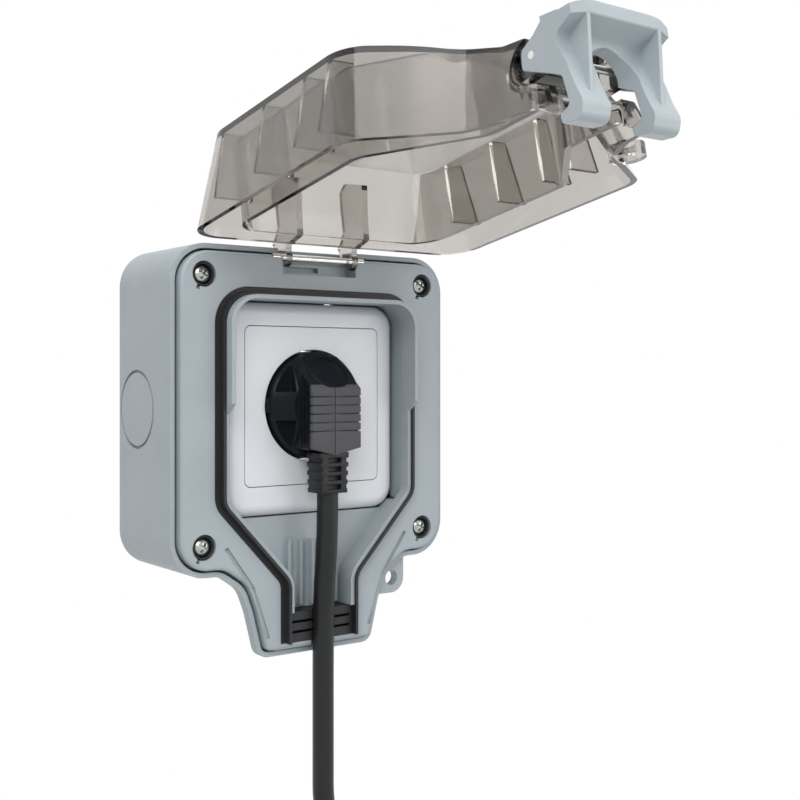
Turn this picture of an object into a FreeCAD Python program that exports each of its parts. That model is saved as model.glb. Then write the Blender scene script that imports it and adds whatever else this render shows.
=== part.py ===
"""Outdoor weatherproof socket: a wall box with a hinged clear lid, a plug in it and its lead.

Frame: the wall is the plane Y = 0 and the socket stands out from it towards -Y, with +X to the
right and +Z up. The origin is the middle of the four cover screws, on the wall. "Depth" below
is the distance out from the wall, so depth d is the plane Y = -d. The lid is drawn closed and
is turned about its hinge axis to the open angle at which it stands.
"""

import FreeCAD, Part
import math
import os

from FreeCAD import Placement, Rotation, Vector

# Driving sizes in millimetres and degrees. Each has one cell and one alias in the sheet.
SIZES = {
    # wall box
    "box_half_width": 56.0,
    "box_half_height": 55.5,
    "box_corner": 13.0,
    "face_depth": 43.0,
    "box_wall": 3.2,
    "box_back": 2.4,
    "rim_width": 1.7,
    "ledge_depth": 33.4,
    "knockout_diameter": 25.0,
    "knockout_groove": 1.0,
    "knockout_depth": 14.3,
    "wall_hole_diameter": 5.0,
    "wall_hole_pitch_x": 60.0,
    "wall_hole_pitch_z": 76.0,
    "screw_side_inset": 11.0,
    "screw_end_inset": 10.5,
    "screw_boss": 9.0,
    "pilot_diameter": 3.0,
    # front cover
    "cover_wall": 2.4,
    "panel_step": 2.8,
    "groove_width": 0.9,
    "cover_rounding": 1.2,
    "spout_half_width": 27.0,
    "spout_foot_half": 23.0,
    "spout_flare_half": 30.0,
    "spout_root_inset": 18.0,
    "spout_drop": 29.5,
    "spout_back": 33.0,
    "seal_ring_height": 1.2,
    "recess_diameter": 8.6,
    "recess_depth": 4.7,
    "moat_depth": 7.5,
    "screw_seat": 6.8,
    "screw_head": 5.8,
    "keyway": 1.3,
    "hinge_recess_half": 15.1,
    "hinge_recess_height": 9.0,
    "hinge_recess_depth": 6.5,
    "hinge_ledge_depth": 4.7,
    "hinge_ledge_height": 4.0,
    # seal line round the opening
    "seal_side_inset": 14.8,
    "seal_top_inset": 14.0,
    "seal_corner": 12.8,
    "seal_kink_inset": 23.3,
    "seal_elbow_drop": 4.3,
    "neck_half_width": 16.0,
    "seal_drop": 25.0,
    "seal_width": 2.8,
    "seal_seat": 1.5,
    "seal_lip": 1.0,
    "seal_lip_height": 3.0,
    "collar_wall": 1.5,
    "collar_low": 2.0,
    "collar_high": 6.5,
    "collar_step": 3.0,
    "funnel_floor": 7.0,
    "funnel_gap": 0.4,
    "comb_height": 10.5,
    "comb_slot": 0.9,
    "fin_width": 1.3,
    "fin_height": 2.4,
    "fin_pitch": 4.8,
    "fin_inset": 9.5,
    "ear_side_inset": 21.5,
    "ear_drop": 8.0,
    "ear_radius": 5.5,
    "ear_hole": 5.5,
    "ear_thickness": 4.0,
    "ear_back": 34.0,
    # socket face
    "plate_half_width": 35.2,
    "plate_half_height": 36.9,
    "plate_corner": 8.0,
    "plate_setback": 4.4,
    "plate_rounding": 3.8,
    "plate_thickness": 5.5,
    "insert_half": 27.5,
    "insert_z": 1.0,
    "insert_gap": 0.25,
    "well_diameter": 39.4,
    "well_depth": 17.5,
    "well_wall": 2.0,
    "yoke_thickness": 1.0,
    "yoke_pitch": 60.0,
    "yoke_screw_head": 5.2,
    "base_half": 22.0,
    "pin_pitch": 19.0,
    "pin_diameter": 4.8,
    "pin_length": 17.4,
    # plug and lead
    "plug_diameter": 37.4,
    "plug_front": 1.8,
    "plug_rim": -2.4,
    "grip_half_width": 10.6,
    "grip_front": 10.5,
    "grip_top": 7.0,
    "grip_bottom": 15.5,
    "relief_length": 20.0,
    "relief_half_width": 6.0,
    "relief_half_depth": 5.0,
    "relief_ribs": 5.0,
    "lead_diameter": 7.5,
    "coil_radius": 41.0,
    "coil_section": 11.4,
    # lid
    "hinge_inset": 3.3,
    "hinge_setback": 1.3,
    "hinge_pin_diameter": 2.5,
    "lid_open_angle": 100.3,
    "lid_overhang": 0.2,
    "lid_top_inset": 12.9,
    "lid_shoulder_inset": 7.1,
    "lid_throat_drop": 8.9,
    "lid_throat_half": 29.0,
    "lid_neck_half": 23.6,
    "lid_neck_drop": 18.5,
    "lid_drop": 29.5,
    "lid_gap": 0.7,
    "lid_height": 30.0,
    "lid_wall": 2.0,
    "lid_inner_edge": 2.6,
    "lid_inner_inset": 0.3,
    "lid_arm_x": 13.6,
    "lid_arm_thickness": 2.4,
    "lid_arm_boss": 3.2,
    "lid_rib": 1.6,
    # latch
    "latch_half_width": 18.0,
    "latch_prong": 10.0,
    "latch_wall": 2.0,
    "latch_gusset": 1.2,
    "latch_crown_radius": 60.0,
    "latch_pin_inset": 3.2,
    "latch_pin_n": 15.7,
    "latch_swing_radius": 8.2,
    "latch_pin_diameter": 2.2,
    "running_gap": 0.4,
}

os.makedirs("parts", exist_ok=True)
doc = FreeCAD.newDocument("weatherproof_socket")
sheet = doc.addObject("Spreadsheet::Sheet", "sizes")
for row, (alias, value) in enumerate(SIZES.items(), start=1):
    sheet.set(f"A{row}", alias.replace("_", " "))
    sheet.set(f"B{row}", str(value))
    sheet.setAlias(f"B{row}", alias)
doc.recompute()
pieces = {}


def size(alias):
    """The value of one cell of the sheet."""
    return float(sheet.get(alias))


# Planes worked out from the driving sizes, as depths from the wall
FACE = size("face_depth")
RIM = FACE - size("panel_step")
LEDGE = size("ledge_depth")
COVER_BACK = LEDGE + size("seal_ring_height")
COVER_INSET = size("rim_width") + size("groove_width")
FLOOR = FACE - size("funnel_floor")
PLATE_FRONT = FACE - size("plate_setback")
WELL_FLOOR = PLATE_FRONT - size("well_depth")
PIVOT_DEPTH = FACE - size("hinge_setback")
MOUTH = FACE + size("lid_gap")
LEAD_RADIUS = size("lead_diameter") / 2
INSERT_Z = size("insert_z")
RUNNING = size("running_gap")
LEAD_DEPTH_AT_COMB = FACE + 1.9
LEAD_EXIT_DEPTH = FACE + 4.7
RELIEF_TOP = -size("grip_bottom") + 6.5
RELIEF_FOOT = RELIEF_TOP - size("relief_length")

# Places that follow the wall box, as distances from its middle or along the closed lid
BOX_X = size("box_half_width")
BOX_Z = size("box_half_height")
SEAL_HALF_WIDTH = BOX_X - size("seal_side_inset")
SEAL_TOP = BOX_Z - size("seal_top_inset")
SEAL_KINK = BOX_Z - size("seal_kink_inset")
SEAL_ELBOW = BOX_Z + size("seal_elbow_drop")
SEAL_BOTTOM = BOX_Z + size("seal_drop")
SPOUT_BOTTOM = BOX_Z + size("spout_drop")
SPOUT_ROOT_HALF = BOX_X - size("spout_root_inset")
COMB_TOP = SEAL_BOTTOM - size("comb_height")
FUNNEL_TOP = size("plate_half_height") + size("funnel_gap")
FIN_TOP = BOX_Z - size("fin_inset")
EAR_X = BOX_X - size("ear_side_inset")
EAR_Z = BOX_Z + size("ear_drop")
HINGE_Z = BOX_Z - size("hinge_inset")
RECESS_BOTTOM = BOX_Z - size("hinge_recess_height")
LID_HALF_WIDTH = BOX_X + size("lid_overhang")
LID_TOP = BOX_Z - size("lid_top_inset")
LID_SHOULDER = BOX_Z - size("lid_shoulder_inset")
LID_THROAT = BOX_Z + size("lid_throat_drop")
LID_NECK = BOX_Z + size("lid_neck_drop")
LID_BOTTOM = BOX_Z + size("lid_drop")
LID_INNER_HALF = SEAL_HALF_WIDTH - size("lid_inner_inset")
LATCH_PIN_S = LID_TOP + LID_BOTTOM - size("latch_pin_inset")


# Outlines are lists of corners (across, up, corner radius), in order round the shape

def mirrored(right_half):
    """A closed outline from its right half, listed from the bottom up."""
    return right_half + [(-x, z, r) for x, z, r in reversed(right_half)]


def rectangle(half_width, half_height, radius, middle=0.0):
    """A rectangle with round corners about the centre line."""
    return mirrored([(half_width, middle - half_height, radius), (half_width, middle + half_height, radius)])


def span(x0, x1, z0, z1, radius=0.0):
    """A rectangle between two corners."""
    return [(x0, z0, radius), (x1, z0, radius), (x1, z1, radius), (x0, z1, radius)]


def turn_at(before, here, after):
    """Twice the signed area of three corners: positive where the outline turns left."""
    return (here[0] - before[0]) * (after[1] - here[1]) - (here[1] - before[1]) * (after[0] - here[0])


def inset(corners, distance):
    """The outline moved inwards by a distance, with its corner radii following."""
    count = len(corners)
    moved = []
    for i, here in enumerate(corners):
        before, after = corners[i - 1], corners[(i + 1) % count]
        lines = []
        for a, b in ((before, here), (here, after)):
            length = math.hypot(b[0] - a[0], b[1] - a[1])
            normal = (-(b[1] - a[1]) / length, (b[0] - a[0]) / length)
            lines.append((normal, normal[0] * a[0] + normal[1] * a[1] + distance))
        (n1, c1), (n2, c2) = lines
        det = n1[0] * n2[1] - n1[1] * n2[0]
        x = (c1 * n2[1] - c2 * n1[1]) / det
        z = (n1[0] * c2 - n2[0] * c1) / det
        side = 1 if turn_at(before, here, after) > 0 else -1
        moved.append((x, z, max(here[2] - side * distance, 0.3) if here[2] else 0.0))
    return moved


def outline_edges(corners):
    """Straight runs and tangent arcs of an outline, as Part geometry in its own plane."""
    count = len(corners)
    joints = []
    for i, (x, z, radius) in enumerate(corners):
        before, after = corners[i - 1], corners[(i + 1) % count]
        here = Vector(x, z, 0)
        back = Vector(before[0], before[1], 0) - here
        on = Vector(after[0], after[1], 0) - here
        back.normalize()
        on.normalize()
        half = back.getAngle(on) / 2
        reach = radius / math.tan(half) if radius else 0.0
        bisector = back + on
        if reach:
            bisector.normalize()
            centre = here + bisector * (radius / math.sin(half))
            middle = centre - bisector * radius
        joints.append((here + back * reach, middle if reach else None, here + on * reach))
    edges = []
    for i, (start, middle, end) in enumerate(joints):
        if middle is not None:
            edges.append(Part.Arc(start, middle, end))
        following = joints[(i + 1) % count][0]
        if end.distanceToPoint(following) > 1e-4:
            edges.append(Part.LineSegment(end, following))
    return edges


PLANES = {"front": "XZ_Plane", "side": "YZ_Plane", "level": "XY_Plane"}


def origin_plane(body, plane):
    """One of a body's own origin planes."""
    return next(f for f in body.Origin.OriginFeatures if f.Role == PLANES[plane])


def new_body(label):
    """An empty body whose label is its node's name."""
    body = doc.addObject("PartDesign::Body", label)
    body.Label = label
    return body


def draw(body, plane, offset, *loops):
    """A sketch of closed loops on one of the body's planes, moved out by an offset."""
    sketch = body.newObject("Sketcher::SketchObject", body.Label + "_outline")
    sketch.AttachmentSupport = [(origin_plane(body, plane), "")]
    sketch.MapMode = "FlatFace"
    if isinstance(offset, str):
        sketch.setExpression("AttachmentOffset.Base.z", offset)
    else:
        sketch.AttachmentOffset = Placement(Vector(0, 0, offset), Rotation())
    for loop in loops:
        if isinstance(loop[0], str):
            _, x, z, radius = loop
            sketch.addGeometry(Part.Circle(Vector(x, z, 0), Vector(0, 0, 1), radius), False)
        else:
            sketch.addGeometry(outline_edges(loop), False)
    return sketch


def circle(x, z, radius):
    """A round loop for a sketch."""
    return ("circle", x, z, radius)


def finish_feature(body, feature, sketch, length):
    """Gives an extrusion its profile and length, and hides nothing behind it."""
    feature.Profile = sketch
    if isinstance(length, str):
        feature.setExpression("Length", length)
    else:
        feature.Length = length
    doc.recompute()
    body.Tip = feature
    return feature


def pad(body, plane, offset, length, *loops):
    """Adds an extrusion of the loops, outwards from the offset plane."""
    sketch = draw(body, plane, offset, *loops)
    return finish_feature(body, body.newObject("PartDesign::Pad", body.Label + "_pad"), sketch, length)


def pocket(body, plane, offset, length, *loops):
    """Cuts an extrusion of the loops inwards from the offset plane."""
    sketch = draw(body, plane, offset, *loops)
    before = body.Tip.Shape.Volume
    feature = body.newObject("PartDesign::Pocket", body.Label + "_pocket")
    feature = finish_feature(body, feature, sketch, length)
    if not feature.Shape.Volume < before - 1e-3:
        raise RuntimeError(f"a pocket in {body.Label} cuts nothing")
    return feature


def keep(label, item):
    """Records a finished sub-part under its node's name."""
    item.Label = label
    pieces[label] = item
    return item


def feature(label, shape):
    """A sub-part whose shape is worked out with shape functions from the sheet's sizes."""
    item = doc.addObject("Part::Feature", label)
    item.Shape = shape
    return keep(label, item)


def face_of(corners, plane, offset):
    """A flat face of an outline, on the front or the side plane."""
    wire = Part.Wire([edge.toShape() for edge in outline_edges(corners)])
    face = Part.Face(wire)
    if plane == "front":
        face.Placement = Placement(Vector(0, -offset, 0), Rotation(Vector(1, 0, 0), 90))
    else:
        face.Placement = Placement(Vector(offset, 0, 0), Rotation(Vector(1, 1, 1), 120))
    return face


def block(corners, plane, start, end):
    """A prism of an outline: depth range on the front plane, X range on the side plane."""
    direction = Vector(0, -(end - start), 0) if plane == "front" else Vector(end - start, 0, 0)
    return face_of(corners, plane, start).extrude(direction)


def rod(x, depth, z, radius, length, axis):
    """A cylinder that starts at a place and runs along an axis."""
    return Part.makeCylinder(radius, length, Vector(x, -depth, z), axis)


# Outlines that several pieces share

def box_outline():
    """The wall box from the front."""
    return rectangle(BOX_X, BOX_Z, size("box_corner"))


def cover_outline():
    """The front cover with its spout, from the front."""
    half_height = BOX_Z
    half_width = BOX_X
    corner = size("box_corner")
    bottom = SPOUT_BOTTOM
    return mirrored([
        (size("spout_foot_half"), -bottom, 4.5),
        (size("spout_half_width"), -(bottom - 16.0), 20.0),
        (size("spout_flare_half"), -(half_height + 5.5), 9.0),
        (SPOUT_ROOT_HALF, -half_height, 8.0),
        (half_width, -half_height, corner),
        (half_width, half_height, corner),
    ])


def seal_outline(distance=0.0, bottom=None):
    """The outer edge of the opening's seal, or a line inside it by a distance."""
    lowest = SEAL_BOTTOM if bottom is None else bottom
    outer = mirrored([
        (size("neck_half_width"), -lowest - distance, 0.0),
        (size("neck_half_width"), -SEAL_ELBOW, 5.0),
        (SEAL_HALF_WIDTH, -SEAL_KINK, 9.0),
        (SEAL_HALF_WIDTH, SEAL_TOP, size("seal_corner")),
    ])
    return inset(outer, distance) if distance else outer


SCREWS = [(sx * (BOX_X - size("screw_side_inset")), sz * (BOX_Z - size("screw_end_inset")))
          for sx in (-1, 1) for sz in (-1, 1)]
YOKE_SCREWS = [(sx * size("yoke_pitch") / 2, INSERT_Z) for sx in (-1, 1)]
COLLAR_OUT = size("seal_width")
COLLAR_IN = COLLAR_OUT + size("collar_wall")


def taper(low, low_depth, high, high_depth):
    """A solid between two outlines with the same number of corners, at two depths."""
    wires = []
    for corners, depth in ((low, low_depth), (high, high_depth)):
        wire = Part.Wire([edge.toShape() for edge in outline_edges(corners)])
        wire.Placement = Placement(Vector(0, -depth, 0), Rotation(Vector(1, 0, 0), 90))
        wires.append(wire)
    return Part.makeLoft(wires, True, True)


def make_back_box():
    """The wall box: one open moulding with the spout's shell, bosses, posts and a knockout."""
    body = new_body("back_box_blank")
    inside = inset(box_outline(), size("box_wall"))
    outer = cover_outline()
    pad(body, "front", 0.0, RIM, box_outline())
    pocket(body, "front", LEDGE + 0.1, LEDGE + 0.1 - size("box_back"), inside)
    spout_front = size("spout_back") + 3.4
    pad(body, "front", spout_front, RIM - spout_front, outer)
    solid = body.Shape.copy()
    shell = taper(inset(outer, 2.0), size("spout_back"), outer, spout_front)
    solid = solid.fuse(shell.common(block(span(-60.0, 60.0, -99.0, -BOX_Z + 1.0), "front", 0.0, 99.0)))
    ear_x, ear_z = EAR_X, -EAR_Z
    radius = size("ear_radius")
    ear = rod(ear_x, size("ear_back"), ear_z, radius, size("ear_thickness"), Vector(0, -1, 0))
    web = [(20.0, ear_z - radius + 0.2, 0.0), (ear_x, ear_z - radius, 0.0), (ear_x + radius, ear_z, 0.0),
           (ear_x + radius, -BOX_Z + 1.5, 0.0), (20.0, -BOX_Z + 1.5, 0.0)]
    web_block = block(web, "front", size("ear_back"), size("ear_back") + size("ear_thickness"))
    bosses = [rod(x, size("box_back") - 0.5, z, size("screw_boss") / 2, LEDGE - 1.2 - size("box_back"),
                  Vector(0, -1, 0)) for x, z in SCREWS]
    yoke_back = PLATE_FRONT - size("plate_thickness") - size("yoke_thickness")
    posts = [rod(x, size("box_back") - 0.5, z, 3.5, yoke_back - size("box_back") + 0.5, Vector(0, -1, 0))
             for x, z in YOKE_SCREWS]
    solid = solid.multiFuse([ear, web_block] + bosses + posts)
    cuts = [block(inset(outer, size("rim_width")), "front", LEDGE, RIM + 1.0)]
    cuts += [rod(x, LEDGE - 18.0, z, size("pilot_diameter") / 2, 20.0, Vector(0, -1, 0)) for x, z in SCREWS]
    cuts += [rod(x, yoke_back - 14.0, z, 1.5, 16.0, Vector(0, -1, 0)) for x, z in YOKE_SCREWS]
    cuts.append(rod(ear_x, size("ear_back") - 1, ear_z, size("ear_hole") / 2, size("ear_thickness") + 2,
                    Vector(0, -1, 0)))
    pitch_x, pitch_z = size("wall_hole_pitch_x") / 2, size("wall_hole_pitch_z") / 2
    cuts += [rod(sx * pitch_x, -1.0, sz * pitch_z, size("wall_hole_diameter") / 2, size("box_back") + 2,
                 Vector(0, -1, 0)) for sx in (-1, 1) for sz in (-1, 1)]
    knock = size("knockout_diameter") / 2
    groove = size("knockout_groove")
    start = Vector(-BOX_X - groove, -size("knockout_depth"), 0)
    ring = Part.makeCylinder(knock + groove, 2 * groove, start, Vector(1, 0, 0))
    cuts.append(ring.cut(Part.makeCylinder(knock, 2 * groove, start, Vector(1, 0, 0))))
    notch_half = size("hinge_recess_half") + 0.4
    cuts.append(block(span(-notch_half, notch_half, BOX_Z - 6.0, 80.0), "front",
                      LEDGE + 0.3, FACE))
    feature("back_box", solid.cut(Part.makeCompound(cuts)).removeSplitter())


def make_front_cover():
    """The cover: raised panel, collar, funnel, screw wells and hinge recess in one moulding."""
    body = new_body("front_cover_blank")
    panel = inset(cover_outline(), COVER_INSET)
    pad(body, "front", COVER_BACK, FACE - COVER_BACK, panel)
    flat = body.Tip
    edges = [f"Edge{i + 1}" for i, e in enumerate(flat.Shape.Edges)
             if abs(e.BoundBox.YMin + FACE) < 0.01 and abs(e.BoundBox.YMax + FACE) < 0.01]
    rounding = body.newObject("PartDesign::Fillet", "front_cover_rounding")
    rounding.Base = (flat, edges)
    rounding.setExpression("Radius", "sizes.cover_rounding")
    doc.recompute()
    body.Tip = rounding
    pocket(body, "front", FACE - size("cover_wall"), FACE - size("cover_wall") - COVER_BACK, inset(panel, 2.0))
    solid = body.Shape.copy()

    additions = []
    panel_block = block(panel, "front", COVER_BACK, FACE - 1.0)
    tray = block(inset(seal_outline(), -2.2), "front", COVER_BACK, FACE - 0.5)
    below = block(span(-60, 60, -SEAL_BOTTOM - 2, -FUNNEL_TOP + 3), "front", 0, FACE)
    additions.append(tray.common(below))
    foot_ring = block(inset(box_outline(), size("rim_width") + 0.1), "front", COVER_BACK, FACE - 1.0)
    foot_ring = foot_ring.cut(block(inset(box_outline(), size("box_wall") + 0.6), "front", 0, FACE))
    additions.append(foot_ring.common(panel_block))
    for x, z in SCREWS:
        additions.append(rod(x, LEDGE - 0.6, z, size("recess_diameter") / 2 + 1.6, FACE - LEDGE - 0.6,
                             Vector(0, -1, 0)).common(block(inset(box_outline(), size("box_wall") + 0.3),
                                                            "front", 0, FACE)))
    recess_half = size("hinge_recess_half")
    hinge_block = span(-recess_half - 6.5, recess_half + 6.5, RECESS_BOTTOM - 2.4, 60.0)
    additions.append(block(hinge_block, "front", COVER_BACK, FACE - 1.0).common(panel_block))
    low = block(seal_outline(COLLAR_OUT), "front", FACE - 0.4, FACE + size("collar_low"))
    high = block(seal_outline(COLLAR_OUT), "front", FACE - 0.4, FACE + size("collar_high"))
    step = size("collar_step")
    drop = size("collar_high") - size("collar_low")
    top_side = [(-(FACE + size("collar_high") + 1), step, 0.0), (-(FACE - 1), step - drop - 2, 0.0),
                (-(FACE - 1), 60.0, 0.0), (-(FACE + size("collar_high") + 1), 60.0, 0.0)]
    high = high.common(block(top_side, "side", -60.0, 60.0))
    additions += [low, high]
    solid = solid.multiFuse(additions)

    cuts = []
    opening = seal_outline(COLLAR_IN, bottom=SEAL_BOTTOM - COLLAR_IN)
    wide = block(opening, "front", 0, FACE + 20)
    above = block(span(-60, 60, -FUNNEL_TOP, 60), "front", 0, FACE + 20)
    cuts.append(wide.common(above))
    cuts.append(block(seal_outline(COLLAR_IN), "front", FLOOR, FACE + 20).common(
        block(span(-60, 60, -SEAL_BOTTOM, 60), "front", FLOOR, FACE + 20)))
    channel = block(seal_outline(), "front", FACE - size("seal_seat"), FACE + 0.5)
    channel = channel.cut(block(seal_outline(COLLAR_OUT), "front", FACE - size("seal_seat") - 1, FACE + 1))
    cuts.append(channel)
    neck_cut = span(-size("neck_half_width"), size("neck_half_width"), -SEAL_BOTTOM, -COMB_TOP)
    cuts.append(block(neck_cut, "front", FACE - size("seal_seat"), FACE + 10))
    comb_half = size("neck_half_width") - COLLAR_OUT
    cuts.append(block(span(-comb_half, comb_half, -SEAL_BOTTOM, -COMB_TOP), "front", FLOOR, FACE + 10))
    cuts.append(rod(0, LEAD_DEPTH_AT_COMB, -SPOUT_BOTTOM - 5.0, LEAD_RADIUS + RUNNING, SPOUT_BOTTOM - COMB_TOP,
                    Vector(0, 0, 1)))
    for x, z in SCREWS:
        well = rod(x, FACE - size("moat_depth"), z, size("recess_diameter") / 2, 14.0, Vector(0, -1, 0))
        seat_height = size("moat_depth") - size("recess_depth")
        seat = rod(x, FACE - size("moat_depth") - 1.0, z, size("screw_seat") / 2, seat_height + 1.0, Vector(0, -1, 0))
        cuts.append(well.cut(seat))
        cuts.append(rod(x, LEDGE - 2, z, 2.1, 20.0, Vector(0, -1, 0)))
        reach = size("recess_diameter") / 2 + size("keyway")
        key = Part.makeBox(reach, 2.0, size("keyway"), Vector(0, -FACE, -size("keyway") / 2))
        key.rotate(Vector(0, 0, 0), Vector(0, 1, 0), 117)
        key.translate(Vector(x, 0, z))
        cuts.append(key)
    recess = span(-recess_half, recess_half, RECESS_BOTTOM, 80.0)
    ledge_top = RECESS_BOTTOM + size("hinge_ledge_height")
    ledge = block(span(-recess_half - 1.0, recess_half + 1.0, RECESS_BOTTOM - 1.0, ledge_top), "front",
                  FACE - size("hinge_recess_depth") - 1.0, FACE - size("hinge_ledge_depth"))
    cuts.append(block(recess, "front", FACE - size("hinge_recess_depth"), FACE + 5).cut(ledge))
    slot = span(-recess_half + 4, 2.0, RECESS_BOTTOM + 1.2, RECESS_BOTTOM + 3.0)
    cuts.append(block(slot, "front", FACE - size("hinge_recess_depth"), FACE))
    pin_reach = recess_half + 4.0
    cuts.append(rod(-pin_reach, PIVOT_DEPTH, HINGE_Z, size("hinge_pin_diameter") / 2, 2 * pin_reach,
                    Vector(1, 0, 0)))
    half_height = BOX_Z
    for side in (-1, 1):
        root = (side * (SPOUT_ROOT_HALF - 1.0), -half_height + 9.5)
        elbow = (side * (size("spout_flare_half") - 3.0), -half_height - 4.5)
        foot = (side * (size("spout_foot_half") - 2.2), -SPOUT_BOTTOM + 7.0)
        for (xa, za), (xb, zb) in ((root, elbow), (elbow, foot)):
            length = math.hypot(xb - xa, zb - za)
            nx, nz = -(zb - za) / length * 0.7, (xb - xa) / length * 0.7
            strip = [(xa - nx, za - nz, 0.0), (xb - nx, zb - nz, 0.0), (xb + nx, zb + nz, 0.0),
                     (xa + nx, za + nz, 0.0)]
            cuts.append(block(strip, "front", FACE - 0.9, FACE + 1))
    solid = solid.cut(Part.makeCompound(cuts))

    fins = []
    for index in range(-2, 3):
        x = index * size("fin_pitch")
        half = size("fin_width") / 2
        fins.append(block(span(x - half, x + half, -COMB_TOP + 1.0, -FIN_TOP),
                          "front", FLOOR - 0.3, FLOOR + size("fin_height")))
    solid = solid.multiFuse(fins).removeSplitter()
    feature("front_cover", solid)


def make_seals():
    """Rubber: the ring between box and cover, the lipped seal round the opening and the comb."""
    body = new_body("cover_seal")
    ring = inset(box_outline(), size("rim_width") + 0.1)
    pad(body, "front", LEDGE, COVER_BACK - LEDGE, ring, inset(box_outline(), size("box_wall")))
    keep("cover_seal", body)

    seat = FACE - size("seal_seat")
    base = block(seal_outline(0.1), "front", seat, FACE - 0.1)
    base = base.cut(block(seal_outline(COLLAR_OUT), "front", seat - 1, FACE + 1))
    lip = block(seal_outline(COLLAR_OUT - size("seal_lip")), "front", seat, FACE + size("seal_lip_height"))
    lip = lip.cut(block(seal_outline(COLLAR_OUT), "front", seat - 1, FACE + 9))
    comb_half = size("neck_half_width") - COLLAR_OUT
    gap = block(span(-comb_half, comb_half, -SEAL_BOTTOM - 9.0, -COMB_TOP + 0.3), "front", seat - 1, FACE + 9)
    below = block(span(-60.0, 60.0, -99.0, -SEAL_BOTTOM + 0.1), "front", seat - 1, FACE + 9)
    feature("opening_seal", base.fuse(lip).cut(gap.fuse(below)).removeSplitter())

    half = size("neck_half_width") - COLLAR_OUT
    body = new_body("cable_comb")
    outline = span(-half, half, -SEAL_BOTTOM, -COMB_TOP)
    pad(body, "front", FLOOR, FACE + 0.3 - FLOOR, outline)
    slots = []
    pitch = (SEAL_BOTTOM - COMB_TOP) / 3
    for row in range(1, 3):
        z = -COMB_TOP - row * pitch
        slots.append(span(-half + 1.0, half - 1.0, z - size("comb_slot") / 2, z + size("comb_slot") / 2))
    pocket(body, "front", FACE + 0.3, 3.2, *slots)
    notch = Part.makeCylinder(LEAD_RADIUS, 30.0, Vector(0, -LEAD_DEPTH_AT_COMB, -SEAL_BOTTOM - 9.0), Vector(0, 0, 1))
    tool = doc.addObject("Part::Feature", "lead_notch")
    tool.Shape = notch
    cut = doc.addObject("Part::Cut", "cable_comb_cut")
    cut.Base = body
    cut.Tool = tool
    body.Label = "cable_comb_block"
    doc.recompute()
    keep("cable_comb", cut)


def make_screws():
    """Four cover screws and two yoke screws, turned, with cross recesses."""
    def screw(x, depth, z, head, length):
        shank = rod(x, depth - length, z, 1.45, length, Vector(0, -1, 0))
        crown = rod(x, depth, z, head / 2, 2.0, Vector(0, -1, 0))
        dome = Part.makeSphere(head * 0.62, Vector(x, -depth + head * 0.62 - 2.4, z))
        crown = crown.common(dome)
        slot = Part.makeBox(head * 0.62, 1.2, 0.9, Vector(x - head * 0.31, -depth - 2.3, z - 0.45))
        cross = slot.copy()
        cross.rotate(Vector(x, 0, z), Vector(0, 1, 0), 90)
        slots = slot.fuse(cross)
        slots.rotate(Vector(x, 0, z), Vector(0, 1, 0), 27)
        return shank.fuse(crown).cut(slots)

    seat = FACE - size("recess_depth")
    feature("cover_screws", Part.makeCompound([screw(x, seat, z, size("screw_head"), 18.0) for x, z in SCREWS]))
    yoke_front = PLATE_FRONT - size("plate_thickness")
    feature("yoke_screws", Part.makeCompound([screw(x, yoke_front, z, size("yoke_screw_head"), 12.0) for x, z in YOKE_SCREWS]))


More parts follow.
